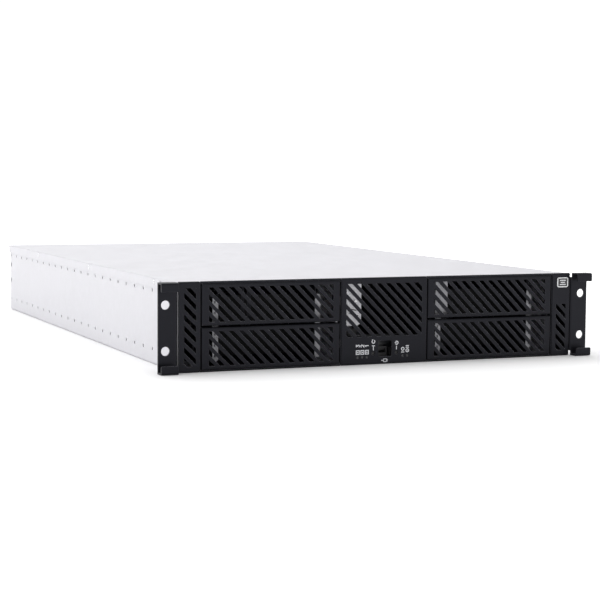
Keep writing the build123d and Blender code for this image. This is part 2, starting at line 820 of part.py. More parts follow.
def make_cage(side, name):
    """A drive cage: a box channel with front flanges and feet on the floor."""
    mid = side * cover_mid
    with BuildPart() as cage:
        block((mid - cage_outer, mid + cage_outer), cage_y, (body_sheet, cage_top))
        block(
            (mid - cage_inner, mid + cage_inner),
            (cage_y[0] - 1, cage_y[1] + 1),
            (body_sheet + cage_sheet, cage_top - cage_sheet),
            Mode.SUBTRACT,
        )
        with BuildSketch(facing(cage_front)):
            flange_outlines(mid)
        extrude(amount=-cage_sheet)
        for hand in (-1, 1):
            block(
                sorted((mid + hand * cage_outer, mid + hand * (cage_outer + 9))),
                (cage_y[0] + 20, cage_y[1] - 10),
                (body_sheet, body_sheet + cage_sheet),
            )
        if side < 0:
            # A strut of two ribs on a short cross-bar hangs from the left cage's top
            for rib in strut_ribs:
                block(
                    (mid + rib[0], mid + rib[1]),
                    (cage_front, cage_front + cage_sheet),
                    (strut_low, cage_top),
                )
            block(
                (mid + strut_ribs[0][0] - 2, mid + strut_ribs[1][1] + 2),
                (cage_front, cage_front + cage_sheet),
                (strut_low - 4, strut_low + 2),
            )
        for low in drive_low:
            for y in drive_screw_y:
                rod_x(
                    (mid - cage_outer - 1, mid + cage_outer + 1),
                    drive_front + y,
                    low + drive_screw_rise,
                    m3_r + screw_clearance,
                    Mode.SUBTRACT,
                )
        # Cooling windows in the side walls
        with BuildSketch(Plane.YZ.offset(mid - cage_outer - 1)):
            with Locations((sum(cage_y) / 2, cage_top / 2)):
                with GridLocations(24, 0, 3, 1):
                    SlotOverall(*cage_window, rotation=90)
        extrude(amount=2 * cage_outer + 2, mode=Mode.SUBTRACT)
    save(cage, name)


make_cage(-1, "drive_cage_left")
make_cage(1, "drive_cage_right")

# Bright spring strips on the flanges; the one by the controls is wide in its upper half
wide_reach = 8.0  # into the bay, from the cage's wall
wide_low = cover_low["upper"] - 1.0

with BuildPart() as bay_shields:
    for side in (-1, 1):
        with BuildSketch(facing(cage_front - strip_sheet)) as outlines:
            flange_outlines(side * cover_mid)
            for hand in (-1, 1):
                middle = side * cover_mid + hand * (cage_inner + cage_flange / 2 + 0.4)
                with Locations((middle, sum(cage_flange_z) / 2)):
                    with GridLocations(0, strip_window_pitch, 1, 6):
                        Rectangle(*strip_window, mode=Mode.SUBTRACT)
        extrude(outlines.sketch, amount=-strip_sheet)
    wall = cover_mid - cage_inner
    block(
        (wall - cage_flange, wall + wide_reach),
        (cage_front - strip_sheet, cage_front),
        (wide_low, cage_top - 3),
    )
save(bay_shields, "bay_shields")

drive_number = 0
for side in (-1, 1):
    for low in drive_low:
        drive_number += 1
        mid = side * cover_mid
        half = drive_width / 2
        with BuildPart() as drive:
            block((mid - half, mid + half), drive_y, (low, low + drive_height))
            fillet(drive.edges().filter_by(Axis.Z), 2.0)
            # Recess for the circuit board underneath, and the step round the top cover
            block(
                (mid - half + 4, mid + half - 4),
                (drive_y[0] + 42, drive_y[1] + 1),
                (low - 1, low + 3.2),
                Mode.SUBTRACT,
            )
            top = low + drive_height
            for hand in (-1, 1):
                block(
                    sorted((mid + hand * (half - 2), mid + hand * (half + 1))),
                    (drive_y[0] - 1, drive_y[1] + 1),
                    (top - 3, top + 1),
                    Mode.SUBTRACT,
                )
            rod_z(mid, drive_y[0] + 52, (top - 0.8, top + 1), 40.0, Mode.SUBTRACT)
            rod_z(mid, drive_y[0] + 52, (top - 1, top), 12.0)
            for y in drive_screw_y:
                for hand in (-1, 1):
                    rod_x(
                        sorted((mid + hand * (half - 4), mid + hand * (half + 1))),
                        drive_front + y,
                        low + drive_screw_rise,
                        m3_r + screw_clearance,
                        Mode.SUBTRACT,
                    )
        save(drive, f"hard_drive_{drive_number}")

with BuildPart() as drive_boards:
    for side in (-1, 1):
        for low in drive_low:
            mid = side * cover_mid
            half = drive_width / 2 - 4.5
            block(
                (mid - half, mid + half),
                (drive_y[0] + 43, drive_y[1] - 0.5),
                (low + 0.6, low + 2.0),
            )
            block((mid - 12, mid + 12), (drive_y[0] + 70, drive_y[0] + 90), (low + 2.0, low + 3.0))
save(drive_boards, "drive_boards")

with BuildPart() as drive_screws:
    for side in (-1, 1):
        for low in drive_low:
            for y in drive_screw_y:
                for hand in (-1, 1):
                    wall = side * cover_mid + hand * cage_outer
                    tip = side * cover_mid + hand * (drive_width / 2 - 3)
                    outside = wall + hand * head_height
                    rod_x(sorted((tip, wall)), drive_front + y, low + drive_screw_rise, m3_r)
                    rod_x(sorted((wall, outside)), drive_front + y, low + drive_screw_rise, m3_head_r)
save(drive_screws, "drive_screws")

plug_depth = 3.5
plane_y = (drive_y[1] + plug_depth, drive_y[1] + plug_depth + board_thick)
with BuildPart() as backplanes:
    for side in (-1, 1):
        mid = side * cover_mid
        block((mid - 48, mid + 48), plane_y, (5, cage_top - 4))
        with BuildSketch(facing(plane_y[0] - 1)):
            with Locations((mid - 20, 38), (mid + 8, 38), (mid + 36, 38)):
                SlotOverall(16, 5)
        extrude(amount=-(board_thick + 2), mode=Mode.SUBTRACT)
save(backplanes, "backplanes")

with BuildPart() as drive_connectors:
    for side in (-1, 1):
        for low in drive_low:
            mid = side * cover_mid
            block((mid - 40, mid + 2), (drive_y[1], plane_y[0]), (low + 3.4, low + 9.0))
save(drive_connectors, "drive_connectors")

# =====================================================================================
# Fan wall and fans
# =====================================================================================

fan_y = (fan_wall_y + body_sheet, fan_wall_y + body_sheet + fan_depth)
hub_plate = 4.0
fan_holes = fan_size - 2 * fan_hole_inset

with BuildPart() as fan_wall:
    high = wall_top - 2
    block(
        (-inner_half + 1, inner_half - 1),
        (fan_wall_y, fan_wall_y + body_sheet),
        (body_sheet, high),
    )
    block(
        (-inner_half + 1, inner_half - 1),
        (fan_wall_y - 14, fan_wall_y),
        (body_sheet, 2 * body_sheet),
    )
    block(
        (-inner_half + 10, inner_half - 10),
        (fan_wall_y - 10, fan_wall_y),
        (high - body_sheet, high),
    )
    with BuildSketch(facing(fan_wall_y - 1)):
        with Locations([(x, fan_mid_z) for x in fan_x]):
            Circle(fan_size / 2 - fan_rim - 0.5)
        with Locations([(side * (inner_half - 36.8), fan_mid_z) for side in (-1, 1)]):
            RectangleRounded(46, 50, 4)
        with Locations([(x, fan_mid_z) for x in fan_x]):
            with GridLocations(fan_holes, fan_holes, 2, 2):
                Circle(fan_hole_r)
    extrude(amount=-(body_sheet + 2), mode=Mode.SUBTRACT)
save(fan_wall, "fan_wall")


def make_fan(x, z, size, y, hub, frame_name, rotor_name):
    """An axial fan: a square frame with a bearing on four struts, and its rotor."""
    half = size / 2
    bore = half - fan_rim
    bearing = (y[1] - hub_plate, y[1])
    with BuildPart() as frame:
        block((x - half, x + half), y, (z - half, z + half))
        fillet(frame.edges().filter_by(Axis.Y), 3.0)
        rod_y(x, (y[0] - 1, y[1] + 1), z, bore, Mode.SUBTRACT)
        with BuildSketch(facing(y[0] - 1)):
            pitch = size - 2 * fan_hole_inset
            with Locations((x, z)):
                with GridLocations(pitch, pitch, 2, 2):
                    Circle(fan_hole_r)
        extrude(amount=-(y[1] - y[0] + 2), mode=Mode.SUBTRACT)
        rod_y(x, bearing, z, hub + 1)
        for turn in (45, 135):
            with Locations((x, sum(bearing) / 2, z)):
                Box(2 * bore + 1, hub_plate - 1.5, 3.0, rotation=(0, turn, 0))
        rod_y(x, (y[0] - 1, y[1] - 1), z, fan_shaft_r + running_clearance, Mode.SUBTRACT)
    save(frame, frame_name)
    tip = bore - blade_gap
    hub_y = (y[0] + 2, y[1] - hub_plate - 0.8)
    blade_depth = (hub_y[1] - hub_y[0]) * 0.86
    with BuildPart() as rotor:
        for k in range(blade_count):
            angle = 360 / blade_count * k
            reach = (hub + tip) / 2 - 1
            across = reach * cos(radians(angle))
            up = reach * sin(radians(angle))
            where = (x + across, sum(hub_y) / 2, z + up)
            with Locations(Location(where, (0, -angle, 0))):
                Box(tip - hub + 6, 1.4, blade_depth / cos(radians(40)), rotation=(50, 0, 0))
        with Locations(Location((x, sum(hub_y) / 2, z), (90, 0, 0))):
            Cylinder(tip, hub_y[1] - hub_y[0], mode=Mode.INTERSECT)
        rod_y(x, hub_y, z, hub)
        fillet(rotor.edges().filter_by(GeomType.CIRCLE).group_by(Axis.Y)[0], 1.2)
        rod_y(x, (hub_y[1], y[1] - 2), z, fan_shaft_r)
    save(rotor, rotor_name)


for number, x in enumerate(fan_x, 1):
    make_fan(x, fan_mid_z, fan_size, fan_y, fan_hub, f"fan_frame_{number}", f"fan_rotor_{number}")

with BuildPart() as fan_screws:
    for x in fan_x:
        for dx in (-fan_holes / 2, fan_holes / 2):
            for dz in (-fan_holes / 2, fan_holes / 2):
                z = fan_mid_z + dz
                rod_y(x + dx, (fan_wall_y - head_height, fan_wall_y), z, m4_head_r)
                rod_y(x + dx, (fan_wall_y, fan_wall_y + 12), z, fan_screw_r)
save(fan_screws, "fan_screws")

# =====================================================================================
# Mainboard and what stands on it
# =====================================================================================

board_x = (board_right - board_width, board_right)
main_y = (board_rear - board_depth, board_rear)
stand_x = (board_x[0] + 6.4, board_x[0] + 140, board_x[1] - 6.4)
stand_y = (main_y[0] + 6.4, main_y[0] + 84, main_y[1] - 12)

with BuildPart() as mainboard:
    block(board_x, main_y, (pcb_low, pcb_top))
    for x in stand_x:
        for y in stand_y:
            rod_z(x, y, (pcb_low - 1, pcb_top + 1), m3_r + screw_clearance, Mode.SUBTRACT)
save(mainboard, "mainboard")

with BuildPart() as standoffs:
    for x in stand_x:
        for y in stand_y:
            with BuildSketch(Plane.XY.offset(body_sheet)):
                with Locations((x, y)):
                    RegularPolygon(3.0, 6)
            extrude(amount=standoff)
            rod_z(x, y, (body_sheet + 2, pcb_low + 1), m3_r + screw_clearance, Mode.SUBTRACT)
save(standoffs, "standoffs")

with BuildPart() as board_screws:
    for x in stand_x:
        for y in stand_y:
            rod_z(x, y, (pcb_low - 4, pcb_top), m3_r)
            rod_z(x, y, (pcb_top, pcb_top + head_height), m3_head_r)
    # Two hold the control board to its bracket, and one sits in the bracket's plate
    for z in bracket_screw_z:
        rod_y(bracket_screw_x, (board_y - head_height, board_y), z, m3_head_r)
        rod_y(bracket_screw_x, (board_y, bracket_y[1] + 2), z, m3_r)
    x, z = bracket_rivet
    rod_y(x, (bracket_y[0] - head_height, bracket_y[0]), z, bracket_rivet_head_r)
    rod_y(x, (bracket_y[0], bracket_y[1] + 2), z, bracket_rivet_r)
save(board_screws, "board_screws")

cpu_x = 18.0
cpu_y = board_rear - 92.0
socket_height = 7.0
sink_half = 45.0
sink_top = 68.0

with BuildPart() as heatsinks:
    low = pcb_top + socket_height
    block(
        (cpu_x - sink_half, cpu_x + sink_half),
        (cpu_y - sink_half, cpu_y + sink_half),
        (low, sink_top),
    )
    fin_pitch = 4.0
    with BuildSketch(facing(cpu_y - sink_half - 1)):
        with Locations((cpu_x, (low + 6 + sink_top + 1) / 2)):
            with GridLocations(fin_pitch, 0, 21, 1):
                Rectangle(fin_pitch - 1.0, sink_top + 1 - low - 6)
    extrude(amount=-(2 * sink_half + 2), mode=Mode.SUBTRACT)
    chip_y = (main_y[0] + 34, main_y[0] + 74)
    block((-148, -108), chip_y, (pcb_top, pcb_top + 13))
    with BuildSketch(facing(chip_y[0] - 1)):
        with Locations((-128, pcb_top + 9.5)):
            with GridLocations(4, 0, 9, 1):
                Rectangle(2.4, 9)
    extrude(amount=-42, mode=Mode.SUBTRACT)
save(heatsinks, "heatsinks")


dimm_y = [main_y[0] + 18 + 10 * i for i in range(4)]
dimm_x = (-66.0, 73.0)
power_socket_x = (board_right - 14.0, board_right - 4.0)
power_socket_y = (main_y[0] + 94, main_y[0] + 146)

with BuildPart() as board_sockets:
    block((cpu_x - 24, cpu_x + 24), (cpu_y - 24, cpu_y + 24), (pcb_top, pcb_top + socket_height))
    for y in dimm_y:
        block(dimm_x, (y - 3.2, y + 3.2), (pcb_top, pcb_top + 7))
        for end in dimm_x:
            block((end - 2.5, end + 2.5), (y - 2, y + 2), (pcb_top, pcb_top + 20))
        block(
            (dimm_x[0] + 2.4, dimm_x[1] - 2.4),
            (y - 0.8, y + 0.8),
            (pcb_top + 2, pcb_top + 30),
            Mode.SUBTRACT,
        )
    for x in slot_x[:4]:
        block((x - 3.8, x + 3.8), (rear - 150, rear - 61), (pcb_top, pcb_top + 11))
        block((x - 1.0, x + 1.0), (rear - 148, rear - 63), (pcb_top + 3, pcb_top + 12), Mode.SUBTRACT)
    block(power_socket_x, power_socket_y, (pcb_top, pcb_top + 13))
    with BuildSketch(Plane.XY.offset(pcb_top + 14)):
        with Locations((sum(power_socket_x) / 2, sum(power_socket_y) / 2)):
            with GridLocations(4.2, 4.2, 2, 12):
                Rectangle(3.2, 3.2)
    extrude(amount=-11, mode=Mode.SUBTRACT)
save(board_sockets, "board_sockets")

with BuildPart() as memory_modules:
    for y in (dimm_y[1], dimm_y[3]):
        block(
            (dimm_x[0] + 2.8, dimm_x[1] - 2.8),
            (y - 0.65, y + 0.65),
            (pcb_top + 2, pcb_top + 32),
        )
        for k in range(8):
            x = dimm_x[0] + 14 + k * 15.9
            block((x - 5, x + 5), (y - 1.7, y - 0.65), (pcb_top + 12, pcb_top + 25))
save(memory_modules, "memory_modules")

# Rear connectors stand on the board's rear edge and look out through the shield
port_y = (rear - 24, rear - 0.6)
lan_x = (-50.0, -30.0, -10.0)
lan_half = 8.0
lan_height = 13.6
usb_rear_x = (14.0, 34.0)
serial_x = 66.0

usb_rear_half = 7.2
usb_rear_height = 16.0
usb_rear_rows = (4.1, 11.9)
serial_half = 15.5
serial_height = 12.5
port_front = port_y[1]

with BuildPart() as rear_ports:
    for x in lan_x:
        block((x - lan_half, x + lan_half), port_y, (pcb_top, pcb_top + lan_height))
        block(
            (x - 5.9, x + 5.9),
            (port_front - 14, port_front + 1),
            (pcb_top + 2.2, pcb_top + 10.2),
            Mode.SUBTRACT,
        )
        block(
            (x - 3, x + 3),
            (port_front - 9, port_front + 1),
            (pcb_top + 10.2, pcb_top + 12.4),
            Mode.SUBTRACT,
        )
    for x in usb_rear_x:
        block((x - usb_rear_half, x + usb_rear_half), port_y, (pcb_top, pcb_top + usb_rear_height))
        for row in usb_rear_rows:
            z = pcb_top + row
            block(
                (x - port_half_x, x + port_half_x),
                (port_front - 11, port_front + 1),
                (z - port_half_z, z + port_half_z),
                Mode.SUBTRACT,
            )
            block((x - 5.5, x + 5.5), (port_front - 12, port_front - 2), (z + 0.2, z + 1.9))
    block(
        (serial_x - serial_half, serial_x + serial_half),
        (rear - 14, port_front),
        (pcb_top, pcb_top + serial_height),
    )
    with BuildSketch(facing(port_front + 1)):
        with Locations((serial_x, pcb_top + serial_height / 2)):
            Trapezoid(18.4, 9.0, 80, rotation=180)
    extrude(amount=7.0, mode=Mode.SUBTRACT)
save(rear_ports, "rear_ports")

with BuildPart() as io_shield:
    block(
        (shield_x[0] - 3, shield_x[1] + 3),
        (rear - body_sheet - 0.6, rear - body_sheet),
        (shield_z[0] - 2, shield_z[1] + 3),
    )
    block(
        (shield_x[0] + seam, shield_x[1] - seam),
        (rear - body_sheet, rear),
        (shield_z[0] + seam, shield_z[1] - seam),
    )
    block(
        (shield_x[0] + 1, shield_x[1] - 1),
        (rear - body_sheet - 1, rear - 0.6),
        (shield_z[0] + 1, shield_z[1] - 1),
        Mode.SUBTRACT,
    )
    openings = [(x, lan_half, lan_height) for x in lan_x]
    openings += [(x, usb_rear_half, usb_rear_height) for x in usb_rear_x]
    openings += [(serial_x, serial_half, serial_height)]
    for x, half, height in openings:
        block(
            (x - half - 0.4, x + half + 0.4),
            (rear - 3, rear + 1),
            (pcb_top - 0.2, pcb_top + height + 0.4),
            Mode.SUBTRACT,
        )
    for k in range(8):
        x = lan_x[0] + k * 17.0
        block((x - 5.5, x + 5.5), (rear - 3, rear + 1), (shield_z[1] - 11, shield_z[1] - 8), Mode.SUBTRACT)
save(io_shield, "io_shield")

cover_y = (rear - body_sheet - 0.9, rear - body_sheet)
slot_cover_half = 9.2
slot_cover_z = (slot_z[0] - 4, slot_z[1] + 10)

with BuildPart() as slot_covers:
    for x in slot_x:
        block((x - slot_cover_half, x + slot_cover_half), cover_y, slot_cover_z)
        rod_y(x, (cover_y[0] - 1, cover_y[1] + 1), slot_screw_z, m3_r + screw_clearance, Mode.SUBTRACT)
        block(
            (x - slot_cover_half, x + slot_cover_half),
            (cover_y[0] - 8, cover_y[0]),
            (slot_cover_z[1] - 0.9, slot_cover_z[1]),
        )
        with BuildSketch(facing(cover_y[0] - 1)):
            with Locations((x, sum(slot_z) / 2)):
                with GridLocations(0, 6.5, 1, 8):
                    SlotOverall(9, 3.0)
        extrude(amount=-3, mode=Mode.SUBTRACT)
save(slot_covers, "slot_covers")

head_y = (rear, rear + head_height)
recess_y = (rear + head_height - 0.7, rear + head_height + 1)
cross_half = 0.4

with BuildPart() as rear_screws:
    for x in slot_x:
        rod_y(x, head_y, slot_screw_z, m3_head_r)
        rod_y(x, (rear - 5, rear), slot_screw_z, m3_r)
        block(
            (x - 2.2, x + 2.2),
            recess_y,
            (slot_screw_z - cross_half, slot_screw_z + cross_half),
            Mode.SUBTRACT,
        )
    for x, z in psu_screws:
        rod_y(x, head_y, z, m4_head_r)
        rod_y(x, (rear - 6, rear), z, m4_r)
        block((x - 2.6, x + 2.6), recess_y, (z - cross_half, z + cross_half), Mode.SUBTRACT)
        block((x - cross_half, x + cross_half), recess_y, (z - 2.6, z + 2.6), Mode.SUBTRACT)
save(rear_screws, "rear_screws")

# =====================================================================================
# Power supply
# =====================================================================================

psu_fan_size = 60.0
psu_fan_x = psu_x[0] + 5 + psu_fan_size / 2
psu_fan_z = sum(psu_z) / 2
psu_fan_bore = psu_fan_size / 2 - fan_rim
inlet_x = psu_x[1] - 22.0
inlet_z = 56.0
inlet_half_x = 9.0
inlet_half_z = 12.0
rocker_z = 24.0
rocker_half = 6.0
rocker_height = 18.0
rocker_angle = 8.0
rocker_pivot_y = psu_y[1] - 4.0
rocker_shaft_r = 1.2

with BuildPart() as psu_case:
    block(psu_x, psu_y, psu_z)
    fillet(psu_case.edges().filter_by(Axis.Y), 1.5)
    block(
        (psu_x[0] + psu_sheet, psu_x[1] - psu_sheet),
        (psu_y[0] + psu_sheet, psu_y[1] - psu_sheet),
        (psu_z[0] + psu_sheet, psu_z[1] - psu_sheet),
        Mode.SUBTRACT,
    )
    through = (psu_y[1] - 2, psu_y[1] + 1)
    rod_y(psu_fan_x, through, psu_fan_z, psu_fan_bore - 1, Mode.SUBTRACT)
    block(
        (inlet_x - inlet_half_x, inlet_x + inlet_half_x),
        through,
        (inlet_z - inlet_half_z, inlet_z + inlet_half_z),
        Mode.SUBTRACT,
    )
    block(
        (inlet_x - rocker_half - 1.5, inlet_x + rocker_half + 1.5),
        through,
        (rocker_z - rocker_height / 2 - 1.5, rocker_z + rocker_height / 2 + 1.5),
        Mode.SUBTRACT,
    )
    with BuildSketch(facing(psu_y[0] - 1)):
        with Locations((sum(psu_x) / 2 - 8, sum(psu_z) / 2)):
            with GridLocations(9, 0, 8, 1):
                SlotOverall(50, 3.4, rotation=90)
        with Locations((psu_x[1] - 14, psu_z[0] + 18)):
            Circle(7.5)
    extrude(amount=-3, mode=Mode.SUBTRACT)
    for x, z in psu_screws:
        rod_y(x, (psu_y[1] - 3, psu_y[1] + 1), z, m4_r + screw_clearance, Mode.SUBTRACT)
save(psu_case, "psu_case")

psu_fan_y = (psu_y[1] - psu_sheet - 25.0, psu_y[1] - psu_sheet)
make_fan(psu_fan_x, psu_fan_z, psu_fan_size, psu_fan_y, 13.0, "psu_fan_frame", "psu_fan_rotor")

with BuildPart() as psu_board:
    base = psu_z[0] + psu_sheet
    block((psu_x[0] + 4, psu_x[1] - 4), (psu_y[0] + 6, psu_fan_y[0] - 4), (base + 4, base + 5.6))
    for x in (psu_x[0] + 8, psu_x[1] - 8):
        for y in (psu_y[0] + 10, psu_fan_y[0] - 8):
            rod_z(x, y, (base, base + 4), 2.5)
    block(
        (psu_x[0] + 34, psu_x[0] + 70),
        (psu_y[0] + 60, psu_y[0] + 100),
        (base + 5.6, base + 44),
    )
    block((psu_x[0] + 12, psu_x[0] + 15), (psu_y[0] + 20, psu_y[0] + 130), (base + 5.6, base + 50))
    block((psu_x[1] - 15, psu_x[1] - 12), (psu_y[0] + 20, psu_y[0] + 130), (base + 5.6, base + 50))
    for y in (34, 118):
        rod_z(psu_x[0] + 52, psu_y[0] + y, (base + 5.6, base + 40), 11.0)
save(psu_board, "psu_board")

with BuildPart() as power_inlet:
    block(
        (inlet_x - inlet_half_x + 0.2, inlet_x + inlet_half_x - 0.2),
        (psu_y[1] - 19, psu_y[1]),
        (inlet_z - inlet_half_z + 0.2, inlet_z + inlet_half_z - 0.2),
    )
    block(
        (inlet_x - 7.6, inlet_x + 7.6),
        (psu_y[1] - 16, psu_y[1] + 1),
        (inlet_z - 10.8, inlet_z + 10.8),
        Mode.SUBTRACT,
    )
    for across, up in ((-2.2, -6.0), (2.2, 0.0), (-2.2, 6.0)):
        x = inlet_x + across
        z = inlet_z + up
        block((x - 0.9, x + 0.9), (psu_y[1] - 17, psu_y[1] - 4), (z - 2, z + 2))
save(power_inlet, "power_inlet")

with BuildPart() as switch_housing:
    outer = (inlet_x - rocker_half - 1.3, inlet_x + rocker_half + 1.3)
    tall = (rocker_z - rocker_height / 2 - 1.3, rocker_z + rocker_height / 2 + 1.3)
    block(outer, (psu_y[1] - 14, psu_y[1]), tall)
    block(
        (inlet_x - rocker_half - 0.3, inlet_x + rocker_half + 0.3),
        (psu_y[1] - 10, psu_y[1] + 1),
        (rocker_z - rocker_height / 2 - 0.3, rocker_z + rocker_height / 2 + 0.3),
        Mode.SUBTRACT,
    )
    rod_x(outer, rocker_pivot_y, rocker_z, rocker_shaft_r + running_clearance, Mode.SUBTRACT)
save(switch_housing, "switch_housing")

lean = radians(rocker_angle)
tilted = Plane(
    origin=(inlet_x - rocker_half, rocker_pivot_y, rocker_z),
    x_dir=(0, cos(lean), sin(lean)),
    z_dir=(1, 0, 0),
)
with BuildPart() as power_rocker:
    with BuildSketch(tilted):
        with BuildLine():
            Polyline((0, -7.4), (4.2, -8.4), (3.4, 0), (4.2, 8.4), (0, 7.4), close=True)
        make_face()
    extrude(amount=2 * rocker_half)
    rod_x(
        (inlet_x - rocker_half - 1.2, inlet_x + rocker_half + 1.2),
        rocker_pivot_y,
        rocker_z,
        rocker_shaft_r,
    )
save(power_rocker, "power_rocker")
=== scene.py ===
import json
from functools import partial
from math import cos, pi, radians, sin

import bmesh
import bpy
from mathutils import Matrix, Vector


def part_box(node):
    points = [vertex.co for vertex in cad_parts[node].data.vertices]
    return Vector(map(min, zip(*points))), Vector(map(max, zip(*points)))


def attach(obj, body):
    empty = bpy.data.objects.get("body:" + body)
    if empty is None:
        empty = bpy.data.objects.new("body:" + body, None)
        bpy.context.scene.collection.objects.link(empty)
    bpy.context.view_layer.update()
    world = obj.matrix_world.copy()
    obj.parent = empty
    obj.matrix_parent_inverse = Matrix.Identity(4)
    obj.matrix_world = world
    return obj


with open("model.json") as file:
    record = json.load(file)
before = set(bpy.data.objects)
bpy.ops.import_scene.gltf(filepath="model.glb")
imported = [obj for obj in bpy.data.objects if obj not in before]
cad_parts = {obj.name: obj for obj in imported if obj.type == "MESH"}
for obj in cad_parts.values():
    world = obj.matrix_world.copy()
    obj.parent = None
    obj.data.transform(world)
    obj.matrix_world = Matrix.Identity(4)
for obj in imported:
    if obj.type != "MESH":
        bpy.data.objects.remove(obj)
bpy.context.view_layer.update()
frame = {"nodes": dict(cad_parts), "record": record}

# Lengths below are in millimetres and go through mm; the frame and every object are in metres.
mm = 0.001
record = frame["record"]
slot_of = {row["node"]: row["material_slot"] for row in record["subparts"]}


def span(node, axis):
    """The (low, high) millimetres of a node's box on an axis, 0 to 2."""
    low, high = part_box(node)
    return low[axis] / mm, high[axis] / mm


# =====================================================================================
# Materials
# =====================================================================================


class Paint:
    """A Principled material, and calls that add procedural nodes measured in millimetres."""

    def __init__(self, name, **values):
        self.material = bpy.data.materials.new(name)
        self.material.use_nodes = True
        self.tree = self.material.node_tree
        self.shader = self.tree.nodes["Principled BSDF"]
        self.place = self.add("TexCoord").outputs["Object"]
        self.normal = None
        for key, value in values.items():
            self.shader.inputs[key.replace("_", " ").title().replace("Ior", "IOR")].default_value = value

    def add(self, kind, **settings):
        node = self.tree.nodes.new("ShaderNode" + kind)
        for key, value in settings.items():
            setattr(node, key, value)
        return node

    def link(self, source, socket):
        self.tree.links.new(source, socket)

    def put(self, value, socket):
        """Link an output, or set a plain value."""
        if isinstance(value, bpy.types.NodeSocket):
            self.link(value, socket)
        else:
            socket.default_value = value

    def stretched(self, x, y, z):
        """The place, scaled unevenly: a factor under 1 draws features out along that axis."""
        node = self.add("Mapping")
        self.link(self.place, node.inputs["Vector"])
        node.inputs["Scale"].default_value = (x, y, z)
        return node.outputs["Vector"]

    def noise(self, size, detail=2.0, rough=0.5, place=None):
        """Soft noise whose features are size millimetres across."""
        node = self.add("TexNoise")
        self.link(place or self.place, node.inputs["Vector"])
        node.inputs["Scale"].default_value = 1 / (size * mm)
        node.inputs["Detail"].default_value = detail
        node.inputs["Roughness"].default_value = rough
        return node.outputs["Fac"]

    def cells(self, size, place=None, metric="EUCLIDEAN", randomness=1.0):
        """Voronoi cells about size millimetres across."""
        node = self.add("TexVoronoi", distance=metric)
        self.link(place or self.place, node.inputs["Vector"])
        node.inputs["Scale"].default_value = 1 / (size * mm)
        node.inputs["Randomness"].default_value = randomness
        return node.outputs

    def between(self, value, low, high, start=0.0, end=1.0):
        """Map a value from start..end to low..high, held at both ends."""
        node = self.add("MapRange")
        self.put(value, node.inputs["Value"])
        node.inputs["From Min"].default_value = start
        node.inputs["From Max"].default_value = end
        node.inputs["To Min"].default_value = low
        node.inputs["To Max"].default_value = high
        return node.outputs["Result"]

    def math(self, a, b, kind="ADD"):
        """A Math node's result: a sum, unless another kind is asked for."""
        node = self.add("Math", operation=kind)
        self.put(a, node.inputs[0])
        self.put(b, node.inputs[1])
        return node.outputs[0]

    def blend(self, factor, a, b):
        """A colour between a and b."""
        node = self.add("MixRGB")
        self.put(factor, node.inputs[0])
        self.put(a if isinstance(a, bpy.types.NodeSocket) else (*a, 1), node.inputs[1])
        self.put(b if isinstance(b, bpy.types.NodeSocket) else (*b, 1), node.inputs[2])
        return node.outputs[0]

    def edges(self, radius):
        """About 1 on a sharp edge, fading to 0 at the radius in millimetres from it."""
        bevel = self.add("Bevel", samples=4)
        bevel.inputs["Radius"].default_value = radius * mm
        dot = self.add("VectorMath", operation="DOT_PRODUCT")
        self.link(bevel.outputs["Normal"], dot.inputs[0])
        self.link(self.add("NewGeometry").outputs["Normal"], dot.inputs[1])
        return self.between(dot.outputs["Value"], 1.0, 0.0, 0.72, 0.98)

    def upward_edge_highlight(self, radius):
        """Like edges, but strong only on the edges that face up: the mask of a painted highlight, where
        overhead light would catch a bend.
        """
        bevel = self.add("Bevel", samples=4)
        bevel.inputs["Radius"].default_value = radius * mm
        facing = self.add("SeparateXYZ")
        self.link(bevel.outputs["Normal"], facing.inputs[0])
        upper = self.between(facing.outputs["Z"], 0.2, 1.0, 0.45, 0.66)
        return self.math(self.edges(radius), upper, "MULTIPLY")

    def colour(self, value):
        self.put(value, self.shader.inputs["Base Color"])

    def roughness(self, value):
        self.put(value, self.shader.inputs["Roughness"])

    def bump(self, height, depth):
        """Relief of the given depth in millimetres; calls add up."""
        node = self.add("Bump")
        node.inputs["Distance"].default_value = depth * mm
        self.link(height, node.inputs["Height"])
        if self.normal is not None:
            self.link(self.normal, node.inputs["Normal"])
        self.normal = node.outputs["Normal"]
        self.link(self.normal, self.shader.inputs["Normal"])

    def soften(self, radius):
        """Round the shading of sharp edges."""
        bevel = self.add("Bevel", samples=4)
        bevel.inputs["Radius"].default_value = radius * mm
        self.normal = bevel.outputs["Normal"]
        self.link(self.normal, self.shader.inputs["Normal"])


def times(colour, factor):
    return tuple(min(1.0, part * factor) for part in colour)


